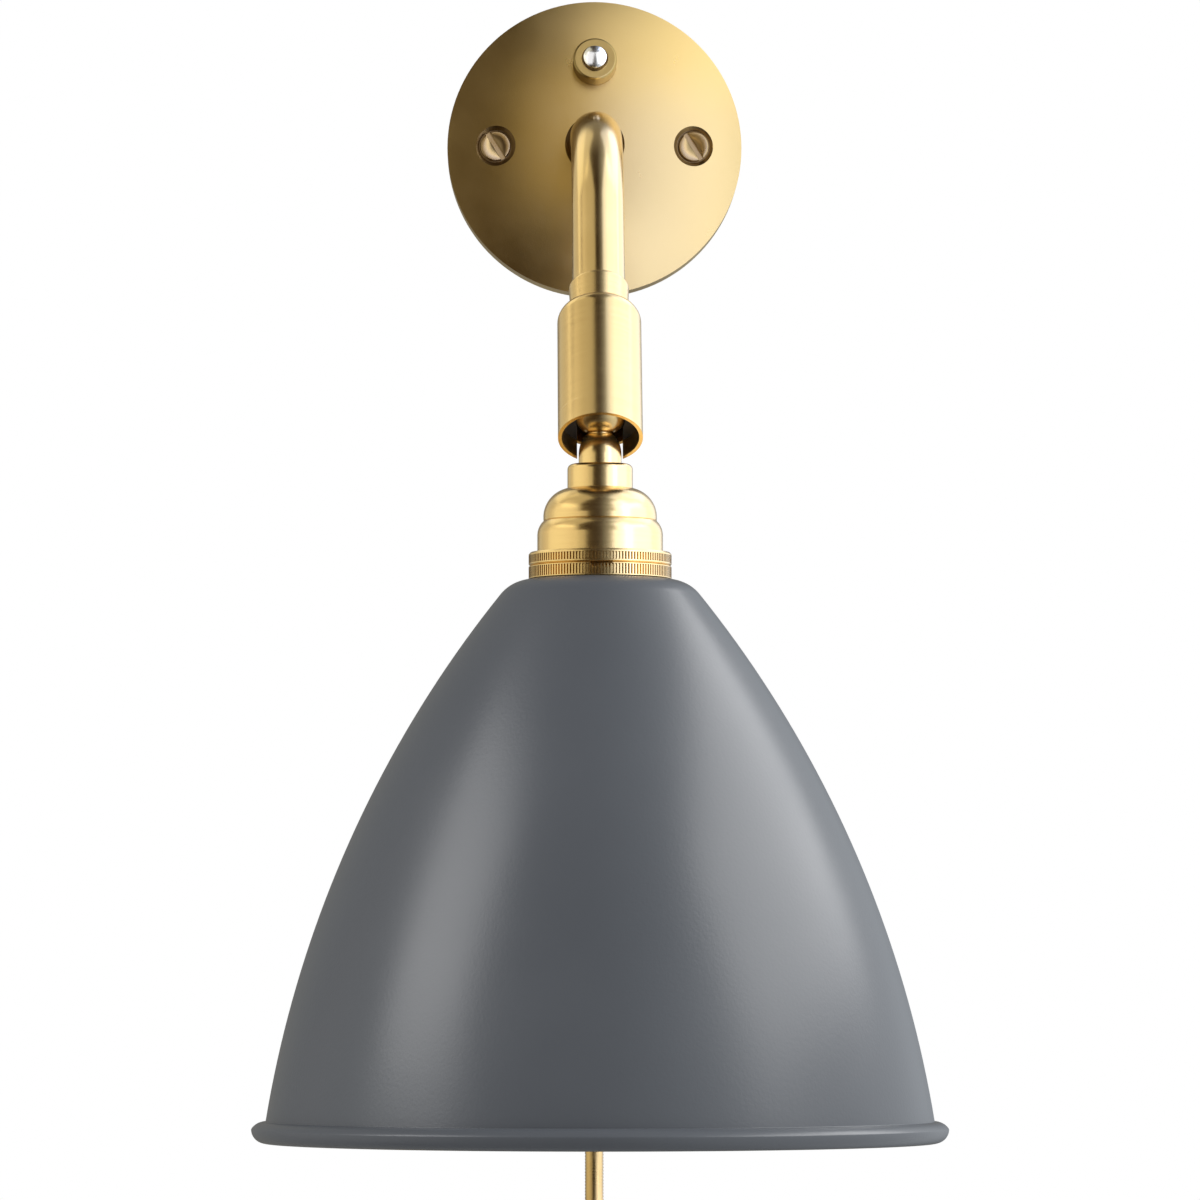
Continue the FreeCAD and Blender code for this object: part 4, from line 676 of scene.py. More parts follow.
@dataclass
class Rose:
    """The domed cover on the wall, with its screws and its switch."""

    palette: Palette
    diameter: float = 72.4
    skirt: float = 7.5
    dome: float = 110.0
    wall: float = 1.1
    arm_hole: float = 14.6
    screw_span: float = 48.6
    recess_floor: float = 9.2
    head: float = 7.4
    head_height: float = 1.3
    slot_width: float = 1.2
    slot_depth: float = 0.7
    screw_turn: float = 32.0
    switch_up: float = 20.0

    def __post_init__(self) -> None:
        """Work out the rose's frame and the dome's centre."""
        self.place = Matrix.Rotation(math.radians(90), 4, "X")
        self.sunk = self.skirt - math.sqrt(self.dome**2 - (self.diameter / 2) ** 2)

    def height(self, radius: float, inner: float = 0.0) -> float:
        """Height of the dome over the wall at a radius."""
        return self.sunk + math.sqrt((self.dome - inner) ** 2 - radius**2)

    def cover(self) -> None:
        """The domed cover, from the solid, with the dome's exact normals; its screw recesses wear a dark
        brown brass that is painted shade.
        """
        edge, hole = self.diameter / 2, self.arm_hole / 2
        inner = edge - self.wall
        outline = Outline([
            Step(hole, self.height(hole)), Step(edge, self.skirt, self.dome, -1), Step(edge, 0),
            Step(inner, 0), Step(inner, self.height(inner, self.wall)),
            Step(hole, self.height(hole, self.wall), self.dome - self.wall, 1),
        ], edge=0.0001, error=0.002)
        # Faces in the screw recesses take the second finish, which is painted shade.
        mesh = exact_copy("cover_dome", "wall_cover", outline, self.place, self.in_recess)
        self.palette.piece("cover_dome", mesh, Body.ROSE, "brass", ("wall_cover",), "rose_brass",
                           "dished_brass")

    def in_recess(self, spot: Vector) -> bool:
        """Whether a place on the cover is in a screw's recess, below the dome."""
        near = math.hypot(abs(spot.x) - self.screw_span / 2, spot.y) < self.head
        return near and spot.z < self.height(math.hypot(spot.x, spot.y)) - SLACK

    def screws(self) -> None:
        """Two slotted screws, repeated along a line."""
        head, floor, shank, end, chamfer = self.head / 2, self.recess_floor, 2.0, 2.0, 0.25
        top = floor + self.head_height
        outline = Outline([
            Step(0, end), Step(shank, end), Step(shank, floor), Step(head, floor), Step(head, top - chamfer),
            Step(head - chamfer, top), Step(0, top),
        ], edge=0.06)
        mesh = turned_mesh("screw_stock", outline, Matrix.Identity(4), COARSE_TURN)
        place = Matrix.Translation((0, 0, top * MM)) @ Matrix.Rotation(math.radians(self.screw_turn), 4, "Z")
        slotted = notched("screw_slotted", mesh, place, (self.slot_width, self.head, self.slot_depth))
        source = linked("screw_source", slotted)
        span = self.screw_span * MM
        mesh = repeated("cover_screw_pair", source, 2, (-span / 2, 0, 0), (span, 0, 0))
        mesh.transform(self.place)
        bpy.data.objects.remove(source)
        flat_or_round(mesh, SHARP_SCREW)
        self.palette.piece("cover_screw_pair", mesh, Body.ROSE, "brass", ("cover_screws",), "screw_brass")

    def switch(self) -> None:
        """Dress nut and crowned button."""
        lean = math.degrees(math.asin(self.switch_up / self.dome))
        point = Vector((0, -self.height(self.switch_up), self.switch_up))
        place = Matrix.Translation(point) @ Matrix.Rotation(math.radians(90 - lean), 4, "X")
        nut = Outline([
            Step(3.95, 0), Step(5.35, 0), Step(5.35, 4.2), Step(4.95, 4.6), Step(3.25, 4.6), Step(3.25, 3.8),
            Step(3.95, 3.8),
        ], edge=0.12)
        self.palette.turned("dress_nut", nut, place, Body.ROSE, "brass", "switch_nut", "nut_brass")
        radius, bend, tip, rod = 2.85, 5.5, 6.8, 1.2
        button = Outline([
            Step(0, -5.4), Step(rod, -5.4), Step(rod, -3.4), Step(radius, -3.4),
            Step(radius, tip - (bend - math.sqrt(bend**2 - radius**2))), Step(0, tip, bend, 1),
        ], edge=0.15)
        self.palette.turned("push_button", button, place, Body.BUTTON, "chrome", "switch_button",
                            "polished_chrome")

    def build(self) -> None:
        """Build the rose."""
        self.cover()
        self.screws()
        self.switch()


def settled(item: Object, name: str) -> Mesh:
    """Turn an object with its modifiers into a plain mesh.

    Args:
        item: The object.
        name: Name of the mesh.

    Returns:
        The mesh.
    """
    graph = bpy.context.evaluated_depsgraph_get()
    graph.update()
    mesh = bpy.data.meshes.new_from_object(item.evaluated_get(graph), depsgraph=graph)
    mesh.name = name
    return mesh


def notched(name: str, mesh: Mesh, place: Matrix, size: Triple) -> Mesh:
    """Cut a box out of a mesh.

    Args:
        name: Name of the new mesh.
        mesh: The mesh.
        place: Where the middle of the box's face lies, in metres.
        size: Width, depth and height of what is cut, in millimetres.

    Returns:
        The cut mesh.
    """
    cutter = bpy.data.meshes.new(name + "_cutter")
    work = bmesh.new()
    bmesh.ops.create_cube(work, size=1.0)
    work.transform(place @ Matrix.Diagonal((size[0] * MM, 2 * size[1] * MM, 2 * size[2] * MM, 1)))
    work.to_mesh(cutter)
    work.free()
    stock, tool = linked(name + "_stock", mesh), linked(name + "_cutter", cutter)
    cut = stock.modifiers.new("notch", "BOOLEAN")
    cut.operation, cut.solver, cut.object = "DIFFERENCE", "EXACT", tool
    result = settled(stock, name)
    for item in (stock, tool):
        bpy.data.objects.remove(item)
    flat_or_round(result, 30)
    return result


def flat_or_round(mesh: Mesh, angle: float) -> None:
    """Shade a mesh smooth, with edges sharper than an angle kept sharp."""
    mesh.polygons.foreach_set("use_smooth", [True] * len(mesh.polygons))
    mesh.set_sharp_from_angle(angle=math.radians(angle))


def instance_tree(name: str, inputs: dict[str, str]) -> tuple[Nodes, NodeOutputs, NodeSocket]:
    """Start a Geometry Nodes tree that gives out instances made real.

    Args:
        name: Name of the tree.
        inputs: Name to socket type of each input after the geometry.

    Returns:
        The tree's helper, its given sockets and the socket for the instances.
    """
    nodes, given, out = start_tree(name, "GeometryNodeTree", {"Geometry": GEOMETRY, **inputs},
                                   {"Geometry": GEOMETRY})
    real = nodes.add("GeometryNodeRealizeInstances")
    nodes.put(out[0], real.outputs[0])
    return nodes, given, real.inputs[0]


def run_tree(name: str, tree: NodeTree, values: dict[str, object]) -> Mesh:
    """Run a Geometry Nodes tree on an empty mesh.

    Args:
        name: Name of the resulting mesh.
        tree: The tree.
        values: Input name to value.

    Returns:
        The mesh that it makes.
    """
    item = linked(name, bpy.data.meshes.new(name))
    modifier = item.modifiers.new("nodes", "NODES")
    modifier.node_group = tree
    for socket in tree.interface.items_tree:
        if socket.name in values:
            modifier[socket.identifier] = values[socket.name]
    mesh = settled(item, name)
    bpy.data.objects.remove(item)
    return mesh


def repeated(name: str, source: Object, count: int, start: Triple, offset: Triple) -> Mesh:
    """Repeat an object along a line.

    Args:
        name: Name of the mesh.
        source: The object to repeat.
        count: How many.
        start: Place of the first, in metres.
        offset: Step from one to the next, in metres.

    Returns:
        The mesh.
    """
    nodes, given, out = instance_tree(name + "_row", {
        "Source": "NodeSocketObject", "Count": "NodeSocketInt", "Start": VECTOR, "Offset": VECTOR})
    row = nodes.add("GeometryNodeMeshLine", s_Count=given["Count"], s_Start_Location=given["Start"],
                    s_Offset=given["Offset"])
    info = nodes.add("GeometryNodeObjectInfo", s_Object=given["Source"])
    placed = nodes.add("GeometryNodeInstanceOnPoints", s_Points=row.outputs[0],
                       s_Instance=info.outputs["Geometry"])
    nodes.put(out, placed.outputs[0])
    return run_tree(name, nodes.tree, {"Source": source, "Count": count, "Start": start, "Offset": offset})


@dataclass
class Arm:
    """The bent tube and the turned collar at its end."""

    palette: Palette
    outer: float = 12.4
    bore: float = 10.0
    start: float = 6.4
    bend_start: float = 23.0
    bend: float = 46.0
    lean: float = 31.0
    to_ball: float = 57.4
    tube_end: float = 34.3
    bend_steps: int = 36
    sides: int = 96

    def ball_centre(self) -> Vector:
        """Centre of the ball, from the bend and the length after it."""
        lean = math.radians(self.lean)
        out = self.bend_start + self.bend * math.cos(lean) + self.to_ball * math.sin(lean)
        down = self.bend * (1 - math.sin(lean)) + self.to_ball * math.cos(lean)
        return Vector((0, -out, -down))

    def stations(self) -> list[tuple[Vector, Vector]]:
        """Places along the tube's axis with the direction there.

        Returns:
            Place and direction, in millimetres, from the wall outwards.
        """
        found = [(Vector((0, -out, 0)), Vector((0, -1, 0))) for out in (self.start, self.bend_start)]
        turn = math.radians(90 - self.lean)
        for k in range(1, self.bend_steps + 1):
            sine, cosine = math.sin(turn * k / self.bend_steps), math.cos(turn * k / self.bend_steps)
            place = Vector((0, -self.bend_start - self.bend * sine, -self.bend * (1 - cosine)))
            found.append((place, Vector((0, -cosine, -sine))))
        place, way = found[-1]
        found.append((place + way * (self.to_ball - self.tube_end), way))
        return found

    def tube(self) -> None:
        """The tube, with its bore."""
        verts, faces, normals = [], [], []
        sides, stations = self.sides, self.stations()
        following = [(k + 1) % sides for k in range(sides)]
        for radius, facing in ((self.outer / 2, 1), (self.bore / 2, -1)):
            base = len(verts)
            for place, way in stations:
                side, up = Vector((1, 0, 0)), Vector((1, 0, 0)).cross(way)
                for k in range(sides):
                    angle = 2 * math.pi * k / sides
                    ray = side * math.cos(angle) + up * math.sin(angle)
                    verts.append((place + ray * radius) * MM)
                    normals.append(ray * facing)
            for row in range(base, base + (len(stations) - 1) * sides, sides):
                quads = [[row + a, row + b, row + b + sides, row + a + sides]
                         for a, b in enumerate(following)]
                faces += [quad[::-1] if facing > 0 else quad for quad in quads]
        split = [normals[v] for face in faces for v in face]
        block = len(stations) * sides
        for row, way in ((0, -stations[0][1]), (block - sides, stations[-1][1])):
            quads = [[row + a, row + b, row + b + block, row + a + block] for a, b in enumerate(following)]
            faces += [quad[::-1] if row else quad for quad in quads]
            split += [way] * 4 * sides
        mesh = bpy.data.meshes.new("bent_tube")
        mesh.from_pydata(verts, [], faces)
        mesh.polygons.foreach_set("use_smooth", [True] * len(faces))
        mesh.normals_split_custom_set(split)
        self.palette.piece("bent_tube", mesh, Body.ROSE, "brass", ("arm_tube",), "tube_brass")

    def collar(self, place: Matrix) -> None:
        """The turned end with the collar that shows over the sleeve."""
        low, high, edge = 27.1, 34.3, 1.2
        outline = Outline([
            Step(3.0, 18.1), Step(5.0, 18.1), Step(5.0, low), Step(6.75, low), Step(7.05, high - edge),
            Step(6.2, high, edge, 1), Step(5.0, high), Step(5.0, high + 6.0), Step(3.0, high + 6.0),
        ], edge=0.08)
        self.palette.turned("spigot_collar", outline, place, Body.ROSE, "brass", "swivel_spigot",
                            "sleeve_brass")

    def build(self, place: Matrix) -> None:
        """Build the arm; its collar goes to the sleeve's frame."""
        self.tube()
        self.collar(place)


@dataclass
class Joint:
    """The slotted sleeve with the ball in it."""

    palette: Palette
    place: Matrix
    head_place: Matrix
    outer: float = 9.8
    bore: float = 8.95
    mouth: float = 9.8
    shoulder: float = 23.3
    top: float = 26.9
    roof: float = 23.6
    collar: float = 7.05
    collar_bend: float = 3.8
    neck: float = 5.06

    def sleeve(self) -> None:
        """The sleeve, from the solid, with exact normals; its bore wears a darker brass that is painted
        shade.
        """
        outline = Outline([
            Step(self.outer, -self.mouth), Step(self.outer, self.shoulder),
            Step(self.collar, self.top, self.collar_bend, 1), Step(self.neck, self.top),
            Step(self.neck, self.roof), Step(self.bore * 2 - self.outer, self.roof),
            Step(self.bore, self.roof - self.outer + self.bore), Step(self.bore, -self.mouth),
        ], edge=0.0001, error=0.002)
        mesh = exact_copy("slotted_sleeve", "joint_sleeve", outline, self.place, self.in_bore)
        self.palette.piece("slotted_sleeve", mesh, Body.SLEEVE, "brass", ("joint_sleeve",), "sleeve_brass",
                           "shaded_bore_brass")

    def in_bore(self, spot: Vector) -> bool:
        """Whether a place on the sleeve is in its bore."""
        return math.hypot(spot.x, spot.y) < self.bore + SLACK and spot.z < self.top - 5 * SLACK

    def ball(self) -> None:
        """The bored ball."""
        radius, bore, well = 7.5, 3.01, 4.3
        outline = Outline([
            Step(bore, -math.sqrt(radius**2 - bore**2)),
            Step(well, math.sqrt(radius**2 - well**2), radius, 1), Step(well, 2.4), Step(bore, 2.4),
        ], edge=0.12, error=0.004)
        self.palette.turned("bored_ball", outline, self.head_place, Body.BALL, "brass", "joint_ball",
                            "head_brass")

    def build(self) -> None:
        """Build the sleeve and the ball."""
        self.sleeve()
        self.ball()


@dataclass
class Holder:
    """The stem, the stepped cap, the knurled rings and the threaded skirt."""

    palette: Palette
    place: Matrix
    ring: float = 16.5
    ring_bore: float = 13.35
    teeth: int = 136
    tooth: float = 0.31
    groove: float = 0.55
    notch: Triple = (5.2, 1.3, 0.65)

    def stem(self) -> None:
        """The flared hollow stem."""
        outline = Outline([
            Step(1.7, -20.4), Step(3.95, -20.4), Step(3.95, -14.1), Step(4.95, -14.1), Step(4.95, -12.0),
            Step(3.35, -7.15, 7.8, 1), Step(2.95, -7.15), Step(2.95, 5.4), Step(1.7, 5.4),
        ], edge=0.12)
        self.palette.turned("flared_stem", outline, self.place, Body.HEAD, "brass", "stem", "head_brass")

    def cap(self) -> None:
        """The stepped cap."""
        outline = Outline([
            Step(3.95, -14.1), Step(6.35, -14.1), Step(7.55, -15.3, 1.2, -1), Step(7.55, -19.7),
            Step(13.1, -25.9, 6.8, -1), Step(13.1, -27.1), Step(12.9, -27.2), Step(13.1, -27.3),
            Step(14.5, -30.4, 4.6, -1), Step(14.5, -34.6), Step(13.3, -34.6), Step(13.3, -30.4),
            Step(11.9, -28.0), Step(11.9, -26.5), Step(6.95, -21.26), Step(3.95, -21.26),
        ], edge=0.1)
        self.palette.turned("stepped_cap", outline, self.place, Body.HEAD, "brass", "holder_cap",
                            "head_brass")

    def ridge_tree(self) -> NodeTree:
        """Make the Geometry Nodes tree of ridges round a ring."""
        nodes, given, out = instance_tree("ring_ridges", {
            "Teeth": "NodeSocketInt", "Radius": NUMBER, "Depth": NUMBER, "Width": NUMBER, "Height": NUMBER,
            "Centre": VECTOR})
        circle = nodes.add("GeometryNodeMeshCircle", s_Vertices=given["Teeth"], s_Radius=given["Radius"])
        size = nodes.add("ShaderNodeCombineXYZ", i_0=given["Depth"], i_1=given["Width"], i_2=given["Height"])
        ridge = nodes.add("GeometryNodeMeshCube", s_Size=size.outputs[0])
        place = nodes.add("GeometryNodeInputPosition")
        parts = nodes.add("ShaderNodeSeparateXYZ", i_0=place.outputs[0])
        angle = nodes.math("ARCTAN2", parts.outputs["Y"], parts.outputs["X"])
        turn = nodes.add("ShaderNodeCombineXYZ", i_2=angle)
        spin = nodes.add("FunctionNodeEulerToRotation", i_0=turn.outputs[0])
        placed = nodes.add("GeometryNodeInstanceOnPoints", s_Points=circle.outputs[0],
                           s_Instance=ridge.outputs[0], s_Rotation=spin.outputs[0])
        moved = nodes.add("GeometryNodeTransform", s_Geometry=placed.outputs[0],
                          s_Translation=given["Centre"])
        nodes.put(out, moved.outputs[0])
        return nodes.tree

    def rings(self) -> None:
        """The two knurled rings and the plain ring under the shade."""
        tree = self.ridge_tree()
        centre = self.place.translation * MM
        rows = (("upper_knurl", "upper_ring", -34.6, -37.65, 0.75, 0.55),
                ("lower_knurl", "lower_ring", -37.65, -40.9, 0.45, 0.45))
        for name, node, top, low, edge_top, edge_low in rows:
            core, land = self.ring - self.groove, self.ring
            outline = Outline([
                Step(self.ring_bore, low), Step(land - 0.3, low), Step(land, low + edge_low * 0.5),
                Step(land, low + edge_low), Step(core, low + edge_low + 0.1),
                Step(core, top - edge_top - 0.1), Step(land, top - edge_top),
                Step(land, top - edge_top * 0.6), Step(land - 0.4, top), Step(self.ring_bore, top),
            ], edge=0.06)
            mesh = turned_mesh(name, outline, self.place)
            if node == "lower_ring":
                front = Matrix.Translation(centre + Vector((0, -self.ring, top)) * MM)
                mesh = notched(name, mesh, front, self.notch)
            self.palette.piece(name, mesh, Body.HEAD, "brass", (node,), "head_brass")
            tall = top - edge_top - low - edge_low
            middle = (top - edge_top + low + edge_low) / 2
            ridges = run_tree(name + "_ridges", tree, {
                "Teeth": self.teeth, "Radius": (self.ring - self.groove * 0.75) * MM,
                "Depth": self.groove * 1.5 * MM, "Width": self.tooth * MM, "Height": tall * MM,
                "Centre": tuple(centre + Vector((0, 0, middle * MM)))})
            self.palette.piece(name + "_ridges", ridges, Body.HEAD, "brass", (node,), "head_brass")
        outline = Outline([
            Step(self.ring_bore, -45.2), Step(self.ring - 0.6, -45.2), Step(self.ring, -44.6),
            Step(self.ring, -42.25), Step(self.ring - 0.25, -42.0), Step(self.ring_bore, -42.0),
        ], edge=0.1)
        self.palette.turned("under_ring", outline, self.place, Body.HEAD, "brass", "shade_ring",
                            "head_brass")

    def skirt(self) -> None:
        """The threaded skirt under the shade ring, with its thread cut as grooves, in a dark brass that is
        painted shade.
        """
        bore, root, crest, low, high = 12.0, 12.85, 13.25, -52.0, -31.0
        ridge = ((root, 0.0), (crest, 0.35), (crest, 0.6), (root, 0.95))
        steps = [Step(bore, low), Step(12.6, low), *thread(-51.2, -45.6, 1.1, ridge), Step(crest, -44.4),
                 Step(crest, high), Step(bore, high)]
        self.palette.turned("threaded_skirt", Outline(steps, edge=0.05), self.place, Body.HEAD, "plain_brass",
                            "holder_skirt", "inner_brass", turns=COARSE_TURN)

    def build(self) -> None:
        """Build the lampholder."""
        self.stem()
        self.cap()
        self.rings()
        self.skirt()


@dataclass
class Shade:
    """The spun shade with its rolled rim."""

    palette: Palette
    place: Matrix
    top: float = -40.9
    height: float = 129.45
    rim: float = 80.0
    bead: float = 3.2
    lip: float = 1.7
    lip_bend: float = 3.6
    wall: float = 1.1
    corner: float = 9.0
    flank: float = 260.0
    back: float = 180.0
    drop: float = 165.8
    hole: float = 13.35
    turns: int = 256

    def build(self) -> None:
        """Build the shade, grey outside and pale inside."""
        reach = self.flank - self.corner
        shoulder = math.sqrt(reach**2 - (self.drop - self.corner) ** 2) - self.back
        along, down = (shoulder + self.back) / reach, (self.drop - self.corner) / reach
        bead_x, bead_drop = self.rim - self.bead, self.height - self.bead
        end_drop = bead_drop - self.lip
        end_x = math.sqrt(self.flank**2 - (self.drop - end_drop) ** 2) - self.back
        inner = self.flank - self.wall
        inner_end = math.sqrt(inner**2 - (self.drop - end_drop) ** 2) - self.back
        inside = bead_x - inner_end
        small = self.corner - self.wall
        top = self.top
        outline = Outline([
            Step(self.hole, top), Step(shoulder, top),
            Step(shoulder + along * self.corner, top - self.corner + down * self.corner, self.corner, -1),
            Step(end_x, top - end_drop, self.flank, -1),
            Step(self.rim, top - bead_drop, self.lip_bend, -1),
            Step(bead_x, top - self.height, self.bead, -1),
            Step(inner_end, top - self.height + inside, inside, -1),
            Step(inner_end, top - end_drop, skin=1),
            Step(shoulder + along * small, top - self.corner + down * small, inner, 1, skin=1),
            Step(shoulder, top - self.wall, small, 1, skin=1),
            Step(self.hole, top - self.wall, skin=1),
        ], edge=0.15, error=0.006)
        self.palette.turned("spun_shade", outline, self.place, Body.HEAD, "shade_paint", "shade",
                            "grey_paint", "inner_paint", turns=self.turns)


@dataclass
class Bulb:
    """The bulb: a screw cap and a white glass globe."""

    palette: Palette
    place: Matrix
    radius: float = 22.5
    tip: float = -30.5
    length: float = 78.0

    def build(self) -> None:
        """Build the bulb."""
        crest, root, low = 6.9, 6.45, -53.0
        ridge = ((crest, 0.0), (root, 0.8), (root, 1.2))
        steps = [
            Step(0, low), Step(crest, low), Step(crest, -50.2), *thread(-49.6, -37.0, 2.0, ridge),
            Step(6.6, -35.6), Step(5.2, -33.2), Step(2.3, -31.4), Step(2.3, self.tip), Step(0, self.tip),
        ]
        self.palette.turned("screw_cap", Outline(steps, edge=0.25), self.place, Body.HEAD, "bulb_metal",
                            "bulb_cap", "nickel_pin", turns=COARSE_TURN)
        centre = self.tip - self.length + self.radius
        join, inner_join, inner = 12.0, 11.0, self.radius - 1.0
        outline = Outline([
            Step(0, centre - self.radius),
            Step(join, centre + math.sqrt(self.radius**2 - join**2), self.radius, 1),
            Step(crest, low, 30.0, -1), Step(crest - 1.0, low),
            Step(inner_join, centre + math.sqrt(inner**2 - inner_join**2), 31.0, 1),
            Step(0, centre - inner, inner, -1),
        ], edge=0.1)
        self.palette.turned("glass_globe", outline, self.place, Body.HEAD, "bulb_glass", "bulb_globe",
                            "opal_glass")


@dataclass
class Cord:
    """The spiral-covered cord: a straight drop, then the put-away coil and the plug."""

    palette: Palette
    diameter: float = 4.6
    out: float = 4.5
    top: float = -58.2
    drop: float = 300.0
    outer: float = 32.4
    inner: float = 19.6
    pitch: float = 5.1
    layers: int = 4
    turns: int = 9
    lead: float = 5.0
    tail: float = 40.0
    points_per_turn: int = 16
    rib: float = 0.78
    rib_depth: float = 0.16
    sides: int = 10
    climb: float = 0.5
    order: int = 3
    fineness: int = 8

    def coil_place(self, turn: float) -> Vector:
        """Middle of the cord in the coil after a number of turns.

        Args:
            turn: Turns from the start of the coil.

        Returns:
            The place, in millimetres.
        """
        each = self.turns / self.layers
        layer = min(int(turn / each), self.layers - 1)
        share = turn / each - layer
        inward = share if layer % 2 == 0 else 1 - share
        radius = self.outer - (self.outer - self.inner) * inward
        height = float(layer)
        for edge in range(1, self.layers):
            near = (turn - edge * each) / self.climb + 0.5
            if 0 < near < 1:
                height = edge - 1 + (1 - math.cos(math.pi * near)) / 2
        angle = -2 * math.pi * turn
        return Vector((radius * math.cos(angle) - self.outer, -self.out - height * self.pitch,
                       radius * math.sin(angle) - self.drop))

    def route(self) -> list[Vector]:
        """Control points of the cord's line, in millimetres."""
        points = [Vector((0, -self.out, self.top)), Vector((0, -self.out, self.lead - self.drop))]
        count = self.turns * self.points_per_turn
        points += [self.coil_place(self.turns * k / count) for k in range(count + 1)]
        end = points[-1]
        points.append(Vector((end.x, end.y, -self.drop - self.tail)))
        return points

    def line(self) -> list[Vector]:
        """Points read from the smooth line through the route.

        Returns:
            The points, in metres.
        """
        curve = bpy.data.curves.new("cord_route", "CURVE")
        curve.dimensions = "3D"
        spline = curve.splines.new("NURBS")
        route = self.route()
        spline.points.add(len(route) - 1)
        for point, place in zip(spline.points, route):
            point.co = (*(place * MM), 1)
        spline.order_u = self.order
        spline.use_endpoint_u = True
        spline.resolution_u = self.fineness
        item = linked("cord_route", curve)
        mesh = settled(item, "cord_route_line")
        points = [v.co.copy() for v in mesh.vertices]
        bpy.data.objects.remove(item)
        return points

    def frames(self, points: list[Vector]) -> tuple[np.ndarray, np.ndarray, np.ndarray, np.ndarray]:
        """Length, place and two crosswise directions along the line, without twist.

        Args:
            points: Points of the line, in metres.

        Returns:
            Lengths, places, first and second crosswise directions.
        """
        ways = [(b - a).normalized() for a, b in zip(points, points[1:])]
        ways.append(ways[-1])
        side = Vector((1, 0, 0))
        sides, crosses, lengths, total = [], [], [], 0.0
        for index, way in enumerate(ways):
            mean = (way + ways[max(index - 1, 0)]).normalized()
            side = (side - mean * side.dot(mean)).normalized()
            sides.append(side.copy())
            crosses.append(mean.cross(side))
            lengths.append(total)
            if index + 1 < len(points):
                total += (points[index + 1] - points[index]).length
        return np.array(lengths), np.array(points), np.array(sides), np.array(crosses)

    def spiral(self) -> None:
        """The close-wound spiral cover, one unbroken ridge round the line."""
        points = self.line()
        lengths, places, sides, crosses = self.frames(points)
        total, rib, count = lengths[-1], self.rib * MM, self.sides
        last = int((total - rib / 2) / rib * count)
        steps = np.arange(last + 1)

        def row(radius: float, shift: float) -> np.ndarray:
            """Points of one helical row at a radius."""
            along = np.clip(steps * rib / count + shift, 0, total)
            angle = 2 * math.pi * steps / count
            found = []
            for table in (places, sides, crosses):
                found.append(np.stack([np.interp(along, lengths, table[:, k]) for k in range(3)], axis=1))
            ray = found[1] * np.cos(angle)[:, None] + found[2] * np.sin(angle)[:, None]
            return found[0] + ray * radius

        high = row(self.diameter / 2 * MM, 0.0)
        low = row((self.diameter / 2 - self.rib_depth) * MM, rib / 2)
        size = last + 1
        verts = np.concatenate([high, low, places[:1], places[-1:]])
        first, end = 2 * size, 2 * size + 1
        faces = [[k, k + 1, size + k + 1, size + k] for k in range(last)]
        faces += [[size + k, size + k + 1, k + 1 + count, k + count] for k in range(last - count)]
        ring = list(range(count + 1)) + [size]
        faces += [[first, b, a] for a, b in zip(ring, ring[1:] + ring[:1])]
        ring = [size + k for k in range(last - count, last + 1)] + [last]
        faces += [[end, a, b] for a, b in zip(ring, ring[1:] + ring[:1])]
        mesh = bpy.data.meshes.new("spiral_cord")
        mesh.from_pydata(verts.tolist(), [], faces)
        work = bmesh.new()
        work.from_mesh(mesh)
        bmesh.ops.recalc_face_normals(work, faces=work.faces)
        work.to_mesh(mesh)
        work.free()
        flat_or_round(mesh, SHARP_RIB)
        piece = self.palette.piece("spiral_cord", mesh, Body.ROSE, "cord_cover", ("power_cord", "cord_coil"),
                                   "cord_spiral")
        LOG.info("cord line: %.3f m", total)

    def ferrule(self) -> None:
        """The tapered ferrule under the rose."""
        place = Matrix.Translation((0, -self.out, 0)) @ Matrix.Rotation(math.pi, 4, "X")
        outline = Outline([
            Step(1.8, 33.76), Step(3.6, 33.76), Step(3.6, 34.86), Step(2.95, 34.86), Step(2.95, 36.3),
            Step(4.0, 36.3), Step(4.0, 38.5), Step(2.9, 58.2), Step(1.8, 58.2),
        ], edge=0.0001, error=0.002)
        mesh = exact_copy("tapered_ferrule", "cord_ferrule", outline, place)
        self.palette.piece("tapered_ferrule", mesh, Body.ROSE, "brass", ("cord_ferrule",), "rose_brass")

    def build(self) -> None:
        """Build the cord and its ferrule."""
        self.spiral()
        self.ferrule()


@dataclass(frozen=True)
class Lamp:
    """A rectangular lamp: place and size in metres, a glow of 1 for white, and the groups that it lights."""

    name: str
    place: Triple
    size: tuple[float, float]
    glow: float
    colour: Triple
    lit: tuple[str, ...]


